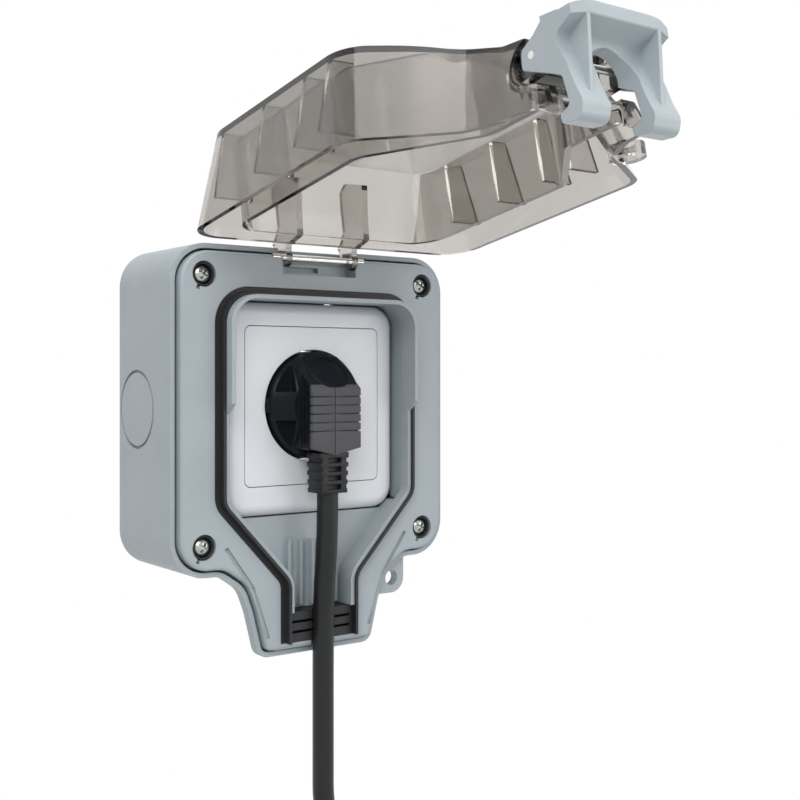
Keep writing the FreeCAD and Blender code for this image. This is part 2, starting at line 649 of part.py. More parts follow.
def make_socket():
    """Socket face, insert with its round well, metal yoke, base and contacts."""
    back = PLATE_FRONT - size("plate_thickness")
    body = new_body("socket_plate")
    outline = rectangle(size("plate_half_width"), size("plate_half_height"), size("plate_corner"))
    hole_half = size("insert_half") + size("insert_gap")
    hole = rectangle(hole_half, hole_half, 2.5, INSERT_Z)
    pad(body, "front", back + 1.0, size("plate_thickness") - 1.0, outline, hole)
    flat = body.Tip
    edges = [f"Edge{i + 1}" for i, e in enumerate(flat.Shape.Edges)
             if abs(e.BoundBox.YMin + PLATE_FRONT) < 0.01 and abs(e.BoundBox.YMax + PLATE_FRONT) < 0.01
             and max(abs(e.BoundBox.XMin), abs(e.BoundBox.XMax), abs(e.BoundBox.ZMin), abs(e.BoundBox.ZMax))
             > hole_half + 3.0]
    rounding = body.newObject("PartDesign::Fillet", "socket_plate_rounding")
    rounding.Base = (flat, edges)
    rounding.setExpression("Radius", "sizes.plate_rounding")
    doc.recompute()
    body.Tip = rounding
    heads = [circle(x, z, size("yoke_screw_head") / 2 + RUNNING) for x, z in YOKE_SCREWS]
    pocket(body, "front", back + 2.3, 1.5, *heads)
    keep("socket_plate", body)

    insert = new_body("socket_insert")
    half = size("insert_half")
    well = size("well_diameter") / 2
    pad(insert, "front", PLATE_FRONT - 3.0, 3.0, rectangle(half, half, 2.3, INSERT_Z))
    cup_back = WELL_FLOOR - size("well_wall")
    pad(insert, "front", cup_back, PLATE_FRONT - 2.5 - cup_back, circle(0, INSERT_Z, well + size("well_wall")))
    pocket(insert, "front", PLATE_FRONT, "sizes.well_depth", circle(0, INSERT_Z, well))
    pins = [circle(sx * size("pin_pitch") / 2, INSERT_Z, size("pin_diameter") / 2 + 0.4) for sx in (-1, 1)]
    pocket(insert, "front", WELL_FLOOR, size("well_wall") + 0.5, *pins)
    keep("socket_insert", insert)

    yoke = new_body("mounting_yoke")
    yoke_outline = rectangle(size("plate_half_width") - 0.2, size("plate_half_width") - 1.2, 3.0, INSERT_Z)
    holes = [circle(x, z, 1.6) for x, z in YOKE_SCREWS]
    pad(yoke, "front", back - size("yoke_thickness"), "sizes.yoke_thickness", yoke_outline,
        circle(0, INSERT_Z, well + size("well_wall") + 0.2), *holes)
    keep("mounting_yoke", yoke)

    base = new_body("socket_base")
    base_half = size("base_half")
    base_back = size("box_back") + 0.6
    pad(base, "front", base_back, cup_back - base_back, rectangle(base_half, base_half, 3.0, INSERT_Z))
    pin_holes = [circle(sx * size("pin_pitch") / 2, INSERT_Z, 4.0) for sx in (-1, 1)]
    pocket(base, "front", cup_back, cup_back - base_back - 0.3, *pin_holes)
    keep("socket_base", base)

    for name, side in (("line_contact", -1), ("neutral_contact", 1)):
        sleeve = new_body(name)
        x = side * size("pin_pitch") / 2
        pad(sleeve, "front", base_back + 0.3, cup_back - base_back - 1.5,
            circle(x, INSERT_Z, 3.9), circle(x, INSERT_Z, size("pin_diameter") / 2))
        keep(name, sleeve)

    clip_outer = well - 0.1
    clip = block(rectangle(3.0, clip_outer, 0.0, INSERT_Z), "front", WELL_FLOOR, WELL_FLOOR + 11.0)
    clip = clip.cut(block(rectangle(4.0, clip_outer - 0.6, 0.0, INSERT_Z), "front", WELL_FLOOR, WELL_FLOOR + 12.0))
    clip = clip.common(rod(0, WELL_FLOOR, INSERT_Z, clip_outer, 20.0, Vector(0, -1, 0)))
    feature("earth_contacts", Part.makeCompound(clip.Solids))


def make_plug():
    """The angled plug: moulded body with a ribbed grip, two pins, earth strips and strain relief."""
    radius = size("plug_diameter") / 2
    front = FACE + size("plug_front")
    grip_front = FACE + size("grip_front")
    rim = FACE + size("plug_rim")
    body = rod(0, WELL_FLOOR, INSERT_Z, radius, rim - WELL_FLOOR, Vector(0, -1, 0))
    body = body.fuse(Part.makeCone(radius, radius * 0.62, front - rim, Vector(0, -rim, INSERT_Z), Vector(0, -1, 0)))
    half = size("grip_half_width")
    top, bottom = size("grip_top"), -size("grip_bottom")
    side = [(-(front - 6), bottom, 0.0), (-(grip_front), bottom + 1.0, 3.0), (-grip_front, top, 3.0),
            (-(rim + 0.6), INSERT_Z + radius - 0.8, 1.0), (-(front - 6), INSERT_Z + radius - 0.8, 0.0)]
    side = list(reversed(side))
    grip = block(side, "side", -half, half)
    edges = [e for e in grip.Edges if e.BoundBox.YMax < -(front + 1.5) and e.BoundBox.ZMax < top - 2
             and abs(abs(e.BoundBox.XMin) - half) < 0.01 and e.BoundBox.XLength < 0.01]
    grip = grip.makeFillet(1.5, edges) if edges else grip
    bound = rod(0, WELL_FLOOR, INSERT_Z, radius - 0.1, 60.0, Vector(0, -1, 0))
    bound = bound.fuse(block(span(-radius, radius, -radius - 10.0, INSERT_Z), "front", WELL_FLOOR, WELL_FLOOR + 60.0))
    body = body.fuse(grip.common(bound))
    for index in range(7):
        z = top - 3.0 - index * 2.6
        for side_x in (-1, 1):
            x0 = side_x * half
            groove = span(min(x0, x0 - side_x * 0.7), max(x0, x0 - side_x * 0.7), z - 0.5, z + 0.5)
            body = body.cut(block(groove, "front", front + 1.2, grip_front - 2.5))
    for sign in (-1, 1):
        z_outer = INSERT_Z + sign * radius
        notch = span(-3.4, 3.4, min(z_outer, z_outer - sign * 1.6), max(z_outer, z_outer - sign * 1.6))
        body = body.cut(block(notch, "front", WELL_FLOOR - 1, rim - 0.6))
    tab = block(span(-radius - 0.7, -radius + 3.0, INSERT_Z - 3.0, INSERT_Z + 3.0, 1.0), "front",
                PLATE_FRONT + 1.0, rim - 0.4)
    body = body.fuse(tab)
    relief_top = RELIEF_TOP
    depth = LEAD_EXIT_DEPTH
    socket = Part.makeCylinder(size("relief_half_depth") - 0.6, 12.0, Vector(0, -depth, relief_top - 12.0 + 0.0),
                               Vector(0, 0, 1))
    body = body.cut(socket)
    for side_x in (-1, 1):
        body = body.cut(rod(side_x * size("pin_pitch") / 2, WELL_FLOOR, INSERT_Z, size("pin_diameter") / 2, 4.0,
                            Vector(0, -1, 0)))
    feature("plug_body", body.removeSplitter())

    pins = []
    for side_x in (-1, 1):
        x = side_x * size("pin_pitch") / 2
        pin_radius = size("pin_diameter") / 2
        start = WELL_FLOOR - size("pin_length")
        pin = rod(x, start, INSERT_Z, pin_radius, size("pin_length") + 4.0, Vector(0, -1, 0))
        tip = [e for e in pin.Edges if abs(e.BoundBox.YMin + start) < 0.01 and abs(e.BoundBox.YMax + start) < 0.01]
        pins.append(pin.makeFillet(1.6, tip))
    feature("plug_pins", Part.makeCompound(pins))

    strips = []
    for sign in (-1, 1):
        z_outer = INSERT_Z + sign * (radius - 0.3)
        z_inner = z_outer - sign * 1.3
        strip_front = rim - 0.6
        strips.append(block(span(-2.9, 2.9, min(z_outer, z_inner), max(z_outer, z_inner)), "front",
                            WELL_FLOOR + 0.2, strip_front))
    feature("plug_earth_strips", Part.makeCompound(strips))

    length = size("relief_length")
    foot = relief_top - length
    core = Part.makeCylinder(size("relief_half_depth") - 0.6, length, Vector(0, -depth, foot), Vector(0, 0, 1))
    ribs = []
    count = int(size("relief_ribs"))
    ribs_top = INSERT_Z - radius - 0.4
    pitch = (ribs_top - foot) / count
    wide, deep = size("relief_half_width"), size("relief_half_depth")
    for index in range(count):
        z = foot + index * pitch
        share = 0.9 + 0.1 * index / count
        rib_outline = [(-wide * share, -deep, 2.0), (wide * share, -deep, 2.0), (wide * share, deep, 2.0),
                       (-wide * share, deep, 2.0)]
        wire = Part.Wire([e.toShape() for e in outline_edges(rib_outline)])
        plate = Part.Face(wire).extrude(Vector(0, 0, pitch * 0.58))
        plate.translate(Vector(0, -depth, z))
        ribs.append(plate)
    spine = Part.makeBox(2 * wide * 0.7, deep * 1.5, ribs_top - foot,
                         Vector(-wide * 0.7, -depth - deep * 0.75, foot))
    relief = core.multiFuse(ribs + [spine])
    feature("plug_strain_relief", relief.removeSplitter())


# The lead's route, corner by corner, chosen by hand
LEAD_ROUTE = [
    Vector(0.0, -LEAD_EXIT_DEPTH, RELIEF_FOOT),
    Vector(0.0, -LEAD_EXIT_DEPTH, RELIEF_FOOT - 17.5),
    Vector(0.0, -LEAD_DEPTH_AT_COMB, RELIEF_FOOT - 37.0),
    Vector(0.0, -LEAD_DEPTH_AT_COMB, RELIEF_FOOT - 110.5),
    Vector(5.5, -LEAD_DEPTH_AT_COMB - 1.0, RELIEF_FOOT - 129.0),
    Vector(18.5, -LEAD_DEPTH_AT_COMB - 1.0, RELIEF_FOOT - 144.0),
    Vector(33.0, -LEAD_DEPTH_AT_COMB - 1.0, RELIEF_FOOT - 156.0),
]
COIL_CENTRE = Vector(0.0, -LEAD_DEPTH_AT_COMB - 1.0, RELIEF_FOOT - 178.5)


def rounded_path(points, print_radii):
    """Straight runs joined by tangent arcs as large as their two runs allow."""
    edges = []
    here = points[0]
    for index in range(1, len(points) - 1):
        corner = points[index]
        back = points[index - 1] - corner
        on = points[index + 1] - corner
        shorter = min(back.Length, on.Length)
        back.normalize()
        on.normalize()
        half_turn = (math.pi - back.getAngle(on)) / 2
        reach = 0.45 * shorter
        radius = reach / math.tan(half_turn)
        print_radii.append(round(radius, 1))
        start, end = corner + back * reach, corner + on * reach
        bisector = back + on
        bisector.normalize()
        middle = corner + bisector * (radius / math.cos(half_turn) - radius)
        edges.append(Part.LineSegment(here, start).toShape())
        edges.append(Part.Arc(start, middle, end).toShape())
        here = end
    edges.append(Part.LineSegment(here, points[-1]).toShape())
    return Part.Wire(edges)


def make_lead():
    """The lead hanging from the plug, its stored length in a tied coil, and its far connector."""
    radii = []
    path = rounded_path(LEAD_ROUTE, radii)
    print("lead arc radii", radii)
    start = LEAD_ROUTE[0]
    ring = Part.Wire([Part.makeCircle(LEAD_RADIUS, start, LEAD_ROUTE[1] - start)])
    tube = path.makePipeShell([ring], True, False)
    print("lead tube volume against section times length",
          round(tube.Volume), round(math.pi * LEAD_RADIUS ** 2 * path.Length))
    section = size("coil_section")
    coil = Part.makeTorus(size("coil_radius"), section, COIL_CENTRE, Vector(0, 1, 0))
    tube = tube.cut(coil)
    feature("lead", max(tube.Solids, key=lambda s: s.Volume))
    tie_outer = section + 1.6
    band = Part.makeTorus(size("coil_radius"), tie_outer, COIL_CENTRE, Vector(0, 1, 0))
    wedge = Part.makeBox(9.0, 60.0, 60.0, COIL_CENTRE + Vector(-4.5, -30.0, -size("coil_radius") - 40.0))
    band = band.common(wedge).cut(coil)
    feature("coil_tie", band)
    lie = COIL_CENTRE + Vector(-size("coil_radius") + 4.0, -section - 9.0, -24.0)
    connector = Part.makeCylinder(9.0, 34.0, lie + Vector(0, 0, 14.0), Vector(0, 0, 1))
    boot = Part.makeCone(5.0, 9.0, 14.0, lie, Vector(0, 0, 1))
    face = Part.makeCylinder(6.0, 6.0, lie + Vector(0, 0, 42.0), Vector(0, 0, 1))
    connector = connector.fuse(boot).cut(face).removeSplitter().cut(coil)
    feature("lead_connector", connector)
    feature("lead_coil", coil)


# Lid coordinates: s runs down the closed lid from its hinge edge, n runs out from its mouth

def lid_z(s):
    """Height of a lid station while the lid is closed."""
    return LID_TOP - s


def lid_rim(distance=0.0):
    """The lid's outer edge from the front, at its mouth."""
    outer = mirrored([
        (size("lid_neck_half") - 1.2, -LID_BOTTOM, 4.0),
        (size("lid_neck_half"), -LID_NECK, 12.0),
        (size("lid_throat_half"), -LID_THROAT, 10.0),
        (LID_HALF_WIDTH, -LID_SHOULDER, 9.0),
        (LID_HALF_WIDTH, LID_TOP, 12.0),
    ])
    return inset(outer, distance) if distance else outer


def lid_crown(distance=0.0):
    """The lid's outer edge at its front panel, where the walls have leaned in."""
    outer = mirrored([
        (12.5, -LID_BOTTOM + 7.0, 3.5),
        (13.5, -LID_NECK + 7.0, 14.0),
        (17.0, -LID_THROAT + 10.0, 12.0),
        (LID_HALF_WIDTH - 8.5, -LID_SHOULDER + 7.0, 12.0),
        (LID_HALF_WIDTH - 6.5, LID_TOP - 4.0, 14.0),
    ])
    return inset(outer, distance) if distance else outer


def tub(distance, start, end):
    """The lid's tapering tub, or its hollow, between two depths from the mouth."""
    def wire(corners, depth):
        edges = [edge.toShape() for edge in outline_edges(corners)]
        profile = Part.Wire(edges)
        profile.Placement = Placement(Vector(0, -depth, 0), Rotation(Vector(1, 0, 0), 90))
        return profile
    body = Part.makeLoft([wire(lid_rim(distance), MOUTH + start), wire(lid_crown(distance), MOUTH + end)],
                         True, True)
    swing = size("latch_swing_radius") + distance
    return body.cut(rod(-70.0, MOUTH + size("latch_pin_n"), lid_z(LATCH_PIN_S), swing, 140.0, Vector(1, 0, 0)))


def side_profile(points):
    """A closed outline in the side plane from (station s, rise n) pairs of the closed lid."""
    corners = [(-(MOUTH + n), lid_z(s), r) for s, n, r in points]
    area = sum(corners[i - 1][0] * corners[i][1] - corners[i][0] * corners[i - 1][1] for i in range(len(corners)))
    return corners if area > 0 else list(reversed(corners))


def open_lid(shape):
    """Turns a closed-lid shape about the hinge axis to the angle at which the lid stands open."""
    turned = shape.copy()
    turned.rotate(Vector(0, -PIVOT_DEPTH, HINGE_Z), Vector(1, 0, 0), -size("lid_open_angle"))
    return turned


def lid_profile(inside):
    """Side view of the lid's rise: full height over the socket, falling to the cable end."""
    rise = size("lid_height") - inside
    end = LID_TOP + LID_BOTTOM + 10
    return side_profile([(-12.0, -9.0, 0.0), (-12.0, rise, 0.0), (92.0, rise, 18.0),
                         (112.0, rise - 6.5, 10.0), (end, rise - 9.5, 0.0), (end, -9.0, 0.0)])


def make_lid():
    """The clear lid: outer tub, inner sealing wall, ribs, hinge arms, latch lugs and eyelet."""
    wall = size("lid_wall")
    height = size("lid_height")
    outer = tub(0.0, 0.0, height).common(block(lid_profile(0.0), "side", -70.0, 70.0))
    hollow = tub(wall, -0.01, height).common(block(lid_profile(wall), "side", -70.0, 70.0))
    shell = outer.cut(hollow)

    grow = LID_INNER_HALF - SEAL_HALF_WIDTH
    edge = MOUTH + size("lid_inner_edge")
    inner_outer = block(seal_outline(-grow - 0.0001 if grow else 0.0001, bottom=SEAL_BOTTOM + 2.0),
                        "front", edge, MOUTH + height)
    inner_inner = block(seal_outline(-grow + wall, bottom=SEAL_BOTTOM + 6.0), "front", edge - 1,
                        MOUTH + height + 1)
    ring = inner_outer.cut(inner_inner).common(outer)

    ribs = []
    rib_half = size("lid_rib") / 2
    for s in (18.0, 42.7, 65.0, 77.4):
        for sign in (-1, 1):
            x0, x1 = sorted((sign * (LID_INNER_HALF - 0.8), sign * (LID_HALF_WIDTH + 2)))
            rib = block(span(x0, x1, lid_z(s) - rib_half, lid_z(s) + rib_half), "front", MOUTH + 7.0,
                        MOUTH + height)
            ribs.append(rib.common(outer))
    arms = []
    arm_x, arm_half = size("lid_arm_x"), size("lid_arm_thickness") / 2
    pivot_s = LID_TOP - HINGE_Z
    pivot_n = -size("hinge_setback") - size("lid_gap")
    boss = size("lid_arm_boss")
    for sign in (-1, 1):
        x = sign * arm_x
        profile = side_profile([(pivot_s + 2.4, pivot_n - 2.2, 1.0), (pivot_s - 2.4, pivot_n - 2.2, 1.5),
                                (pivot_s - 5.6, 4.3, 1.5), (pivot_s - 2.6, 7.8, 2.0), (pivot_s - 1.4, 24.0, 2.0),
                                (pivot_s + 2.0, 26.2, 2.0), (3.7, 22.2, 1.0), (1.2, 3.1, 0.5),
                                (-6.4, 1.9, 1.5)])
        arms.append(block(profile, "side", x - arm_half, x + arm_half))
        arms.append(rod(x - arm_half, MOUTH + pivot_n, HINGE_Z, boss, 2 * arm_half, Vector(1, 0, 0)))
    latch_s, latch_n = LATCH_PIN_S, size("latch_pin_n")
    lug_half = size("latch_half_width") - size("latch_wall") - RUNNING
    lug_reach = size("latch_swing_radius") + 1.2
    lug_profile = side_profile([(latch_s - lug_reach, latch_n - 4.6, 0.5), (latch_s + 3.6, latch_n - 3.6, 3.0),
                                (latch_s + 3.6, latch_n + 3.6, 3.0), (latch_s - lug_reach, latch_n + 4.2, 0.5)])
    lugs = []
    for sign in (-1, 1):
        x0, x1 = sorted((sign * lug_half, sign * (lug_half - 3.6)))
        lugs.append(block(lug_profile, "side", x0, x1))
    eye_x, eye_z = EAR_X, -EAR_Z
    eye = rod(eye_x, MOUTH, eye_z, size("ear_radius"), 4.0, Vector(0, -1, 0))
    lid = shell.multiFuse([ring] + ribs + arms + lugs + [eye])

    cuts = [rod(-30, PIVOT_DEPTH, HINGE_Z, size("hinge_pin_diameter") / 2 + 0.05, 60.0, Vector(1, 0, 0)),
            rod(-30, MOUTH + latch_n, lid_z(latch_s), size("latch_pin_diameter") / 2, 60.0, Vector(1, 0, 0)),
            rod(eye_x, MOUTH - 1, eye_z, size("ear_hole") / 2, 6.0, Vector(0, -1, 0)),
            block([(-11.0, -99.0, 0.0), (11.0, -99.0, 0.0), (11.0, -SEAL_BOTTOM + 2.0, 4.0),
                   (-11.0, -SEAL_BOTTOM + 2.0, 4.0)], "front", MOUTH - 1, MOUTH + 8.5)]
    throat = span(-12.0, 12.0, -SEAL_BOTTOM - 3.2, -COMB_TOP + 14.0)
    cuts.append(block(throat, "front", MOUTH - 1, MOUTH + 8.5))
    lid = lid.cut(Part.makeCompound(cuts)).removeSplitter()
    solid = max(lid.Solids, key=lambda s: s.Volume)
    feature("lid", open_lid(solid))

    comb = block(span(-10.5, 10.5, -SEAL_BOTTOM - 1.2, -COMB_TOP - 0.5), "front",
                 MOUTH + 8.5, MOUTH + 18.0).common(hollow).common(block(
                     [(c[0], c[1], 0.0) for c in inset(seal_outline(), wall + 0.6)], "front", 0.0, 200.0))
    teeth = []
    for row in range(3):
        z = -COMB_TOP - 2.4 - row * 3.0
        teeth.append(block(span(-9.0, 9.0, z - 0.5, z + 0.5), "front", MOUTH + 8.0, MOUTH + 12.0))
    feature("lid_comb", open_lid(comb.cut(Part.makeCompound(teeth))))
    reach = size("hinge_recess_half") + 3.8
    feature("hinge_pin", rod(-reach, PIVOT_DEPTH, HINGE_Z, size("hinge_pin_diameter") / 2, 2 * reach,
                             Vector(1, 0, 0)))


def make_latch():
    """The latch: a curved plate over two claws that hook behind the spout's foot, and its pin."""
    half = size("latch_half_width")
    prong = size("latch_prong")
    wall = size("latch_wall")
    pin_s, pin_n = LATCH_PIN_S, size("latch_pin_n")
    claw = side_profile([
        (pin_s - 3.8, pin_n - 2.9, 1.8), (pin_s + 4.1, pin_n - 6.5, 1.5), (pin_s + 9.7, pin_n - 9.3, 2.0),
        (pin_s + 11.2, pin_n - 17.4, 1.5), (pin_s + 7.4, pin_n - 19.0, 0.6), (pin_s + 7.8, pin_n - 21.4, 1.0),
        (pin_s + 14.0, pin_n - 22.3, 2.5), (pin_s + 15.6, pin_n - 17.9, 2.5), (pin_s + 13.6, pin_n - 13.0, 3.0),
        (pin_s + 11.6, pin_n - 6.0, 5.0), (pin_s + 8.3, pin_n + 1.3, 3.0), (pin_s + 16.8, pin_n + 5.2, 0.8),
        (pin_s + 16.4, pin_n + 9.4, 1.2), (pin_s + 8.9, pin_n + 10.2, 4.0), (pin_s + 1.6, pin_n + 4.7, 3.0),
        (pin_s - 3.4, pin_n + 2.2, 2.0)])
    claws = [block(claw, "side", -half, -half + prong), block(claw, "side", half - prong, half)]
    plate = side_profile([
        (pin_s + 5.0, pin_n - 6.0, 1.0), (pin_s + 9.7, pin_n - 9.3, 1.0), (pin_s + 12.6, pin_n - 9.3, 0.5),
        (pin_s + 11.6, pin_n - 6.0, 3.0), (pin_s + 8.3, pin_n + 1.3, 3.0), (pin_s + 16.8, pin_n + 5.2, 0.8),
        (pin_s + 16.4, pin_n + 9.4, 1.2), (pin_s + 8.9, pin_n + 10.2, 4.0), (pin_s + 5.0, pin_n + 7.4, 1.0)])
    latch = block(plate, "side", -half, half).multiFuse(claws)
    crown = size("latch_crown_radius")
    latch = latch.common(rod(0, 0, lid_z(pin_s + 18.1 - crown), crown, 120.0, Vector(0, -1, 0)))
    latch = latch.common(rod(0, MOUTH + pin_n + 10.0 - crown, lid_z(pin_s + 40.0), crown, 80.0, Vector(0, 0, 1)))
    lug_half = half - wall
    channel = side_profile([(pin_s - 12.0, pin_n - 30.0, 0.0), (pin_s + 4.6, pin_n - 30.0, 0.0),
                            (pin_s + 4.6, pin_n + 30.0, 0.0), (pin_s - 12.0, pin_n + 30.0, 0.0)])
    cuts = [block(channel, "side", -lug_half, lug_half)]
    gap_half = half - prong
    under = side_profile([(pin_s - 20.0, pin_n - 40.0, 0.0), (pin_s + 40.0, pin_n - 40.0, 0.0),
                          (pin_s + 40.0, pin_n - 7.1, 0.0), (pin_s - 20.0, pin_n - 7.1, 0.0)])
    cuts.append(block(under, "side", -gap_half, gap_half))
    cuts.append(rod(0, MOUTH + pin_n - 7.1, lid_z(pin_s - 20.0), gap_half, 60.0, Vector(0, 0, -1)))
    latch = latch.cut(Part.makeCompound(cuts))
    gusset = side_profile([(pin_s + 7.6, pin_n + 2.2, 0.0), (pin_s + 16.2, pin_n + 6.0, 0.0),
                           (pin_s + 16.7, pin_n + 4.8, 0.0), (pin_s + 14.3, pin_n - 15.2, 0.0),
                           (pin_s + 10.8, pin_n - 7.0, 0.0)])
    gusset_half = size("latch_gusset") / 2
    for sign in (-1, 1):
        x = sign * (half - prong / 2)
        latch = latch.fuse(block(gusset, "side", x - gusset_half, x + gusset_half))
    tab = side_profile([(pin_s + 1.8, pin_n + 8.6, 0.0), (pin_s + 1.8, pin_n + 10.2, 0.0),
                        (pin_s + 8.0, pin_n + 9.4, 0.0), (pin_s + 6.0, pin_n + 5.0, 0.0)])
    latch = latch.fuse(block(tab, "side", -half + 3.0, -half + 9.0))
    bore = rod(-half - 1, MOUTH + pin_n, lid_z(pin_s), size("latch_pin_diameter") / 2 + 0.05, 2 * half + 2,
               Vector(1, 0, 0))
    latch = latch.cut(bore).removeSplitter()
    feature("latch", open_lid(max(latch.Solids, key=lambda s: s.Volume)))
    feature("latch_pin", open_lid(rod(-half, MOUTH + pin_n, lid_z(pin_s), size("latch_pin_diameter") / 2,
                                      2 * half, Vector(1, 0, 0))))


make_back_box()
make_front_cover()
make_seals()
make_screws()
make_socket()
make_plug()
make_lead()
make_lid()
make_latch()
doc.recompute()

failed = [item.Label for item in doc.Objects if "Invalid" in item.State or "Error" in item.State]
for name, item in pieces.items():
    if item.Shape.isNull() or not item.Shape.isValid() or not item.Shape.Solids:
        failed.append(name)
if failed:
    raise RuntimeError(f"these objects failed: {sorted(set(failed))}")
for name, item in pieces.items():
    item.Shape.exportStep(f"parts/{name}.step")
    box = item.Shape.BoundBox
    print(f"{name}: {len(item.Shape.Solids)} solid(s), {item.Shape.Volume:.0f} mm3, "
          f"X {box.XMin:.1f} {box.XMax:.1f} Y {box.YMin:.1f} {box.YMax:.1f} Z {box.ZMin:.1f} {box.ZMax:.1f}")
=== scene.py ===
"""The looks of an outdoor weatherproof socket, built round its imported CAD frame.

The wall is the plane Y = 0, the socket stands out towards -Y, +X is to the right and +Z is up.
Lengths are in metres, except that the shaping helpers and the pieces' own sizes are in millimetres;
the cord's are in metres.
"""

from __future__ import annotations

import logging
import math
from dataclasses import dataclass
from enum import Enum
from typing import Callable

import bpy
from mathutils import Euler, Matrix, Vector

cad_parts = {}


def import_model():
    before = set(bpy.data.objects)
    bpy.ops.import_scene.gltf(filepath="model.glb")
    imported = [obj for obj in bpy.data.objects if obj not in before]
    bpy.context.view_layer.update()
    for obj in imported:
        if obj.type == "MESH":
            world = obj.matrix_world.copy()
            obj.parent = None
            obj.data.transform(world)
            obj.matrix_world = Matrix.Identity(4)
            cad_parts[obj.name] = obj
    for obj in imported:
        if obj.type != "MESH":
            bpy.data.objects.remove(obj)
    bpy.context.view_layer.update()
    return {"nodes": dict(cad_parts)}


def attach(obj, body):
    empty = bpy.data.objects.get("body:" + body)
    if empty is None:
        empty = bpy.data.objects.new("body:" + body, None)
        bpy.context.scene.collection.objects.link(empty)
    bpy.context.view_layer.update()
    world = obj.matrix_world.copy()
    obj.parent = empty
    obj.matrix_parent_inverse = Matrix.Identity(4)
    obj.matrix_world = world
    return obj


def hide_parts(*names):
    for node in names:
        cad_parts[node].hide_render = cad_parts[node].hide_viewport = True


LOG = logging.getLogger("weatherproof_socket")
Colour = tuple[float, float, float]
Point = tuple[float, float, float]
MM = 0.001
SMOOTH_DEGREES = 38.0
FACING = 0.9


class Grain(Enum):
    """How coarse the texture of a moulding is, as noise scale and bump height in metres."""

    POLISHED = (900.0, 0.000002)
    SATIN = (1400.0, 0.000012)
    RUBBER = (700.0, 0.00002)


def deselect_all() -> None:
    """Leaves nothing selected and object mode on."""
    if bpy.context.object and bpy.context.object.mode != "OBJECT":
        bpy.ops.object.mode_set(mode="OBJECT")
    bpy.ops.object.select_all(action="DESELECT")


def activate(piece: bpy.types.Object) -> None:
    """Makes one piece the only selected and the active one."""
    deselect_all()
    piece.select_set(True)
    bpy.context.view_layer.objects.active = piece


def settle(piece: bpy.types.Object) -> bpy.types.Object:
    """Applies a piece's place to its mesh, so that its object sits at the origin.

    Args:
        piece: the finished mesh object.

    Returns:
        The same object.
    """
    activate(piece)
    bpy.ops.object.transform_apply(location=True, rotation=True, scale=True)
    return piece


def apply_modifiers(piece: bpy.types.Object) -> None:
    """Applies all of a piece's modifiers in their order."""
    activate(piece)
    for modifier in list(piece.modifiers):
        bpy.ops.object.modifier_apply(modifier=modifier.name)


def select_faces(piece: bpy.types.Object, wanted: Callable[[Vector, Vector], bool]) -> None:
    """Opens a piece in edit mode with only some of its faces selected.

    Args:
        piece: the mesh object.
        wanted: tells from a face's middle and normal whether it is one of them.
    """
    activate(piece)
    for vertex in piece.data.vertices:
        vertex.select = False
    for edge in piece.data.edges:
        edge.select = False
    for face in piece.data.polygons:
        face.select = wanted(face.center, face.normal)
    bpy.ops.object.mode_set(mode="EDIT")
    bpy.ops.mesh.select_mode(type="FACE")


def select_edges(piece: bpy.types.Object, wanted: Callable[[Vector, Vector], bool]) -> None:
    """Opens a piece in edit mode with only some of its edges selected.

    Args:
        piece: the mesh object.
        wanted: tells from an edge's two ends whether it is one of them.
    """
    activate(piece)
    bpy.ops.object.mode_set(mode="EDIT")
    bpy.ops.mesh.select_mode(type="EDGE")
    bpy.ops.mesh.select_all(action="DESELECT")
    bpy.ops.object.mode_set(mode="OBJECT")
    for edge in piece.data.edges:
        first, second = (piece.data.vertices[index].co for index in edge.vertices)
        edge.select = wanted(first, second)
    bpy.ops.object.mode_set(mode="EDIT")


def draw_out(piece: bpy.types.Object, facing: Point, steps: list[tuple[float, float]],
             centre: Point) -> None:
    """Draws the end of a piece out in steps, each narrower or wider than the one before.

    Args:
        piece: the mesh object.
        facing: the direction that its end faces, along an axis.
        steps: each step's length in millimetres and the scale of its far end.
        centre: the point that the ends are scaled from, in millimetres.
    """
    toward = Vector(facing)
    for length, scale in steps:
        select_faces(piece, lambda middle, normal: normal.dot(toward) > FACING)
        bpy.ops.mesh.extrude_region_move(
            TRANSFORM_OT_translate={"value": tuple(part * length * MM for part in facing)})
        bpy.ops.transform.resize(value=tuple(1.0 if part else scale for part in facing),
                                 center_override=tuple(part * MM for part in centre))
        bpy.ops.object.mode_set(mode="OBJECT")


def dial(node: bpy.types.Node, values: dict[str, object]) -> None:
    """Sets some of a shader node's inputs.

    Args:
        node: the node.
        values: input name to its value.
    """
    for label, value in values.items():
        node.inputs[label].default_value = value


def add_block(name: str, low: Point, high: Point) -> bpy.types.Object:
    """Adds a block between two corners in millimetres, ready to be shaped.

    Args:
        name: the piece's name.
        low: its lowest corner.
        high: its highest corner.

    Returns:
        The new object, at the origin with its place in its mesh.
    """
    deselect_all()
    middle = [(a + b) / 2 * MM for a, b in zip(low, high)]
    bpy.ops.mesh.primitive_cube_add(size=1.0, location=middle)
    piece = bpy.context.object
    piece.name = name
    piece.data.name = name
    piece.scale = [(b - a) * MM for a, b in zip(low, high)]
    return settle(piece)


def add_rod(name: str, middle: Point, radius: float, length: float, axis: str,
            sides: int = 64) -> bpy.types.Object:
    """Adds a round rod along an axis, sizes in millimetres, ready to be shaped.

    Args:
        name: the piece's name.
        middle: its middle.
        radius: its radius.
        length: its length.
        axis: X, Y or Z.
        sides: how many flats its round has.

    Returns:
        The new object, at the origin with its place in its mesh.
    """
    deselect_all()
    turn = {"X": (0.0, math.pi / 2, 0.0), "Y": (math.pi / 2, 0.0, 0.0), "Z": (0.0, 0.0, 0.0)}[axis]
    bpy.ops.mesh.primitive_cylinder_add(vertices=sides, radius=radius * MM, depth=length * MM,
                                        location=[c * MM for c in middle], rotation=turn)
    piece = bpy.context.object
    piece.name = name
    piece.data.name = name
    return settle(piece)


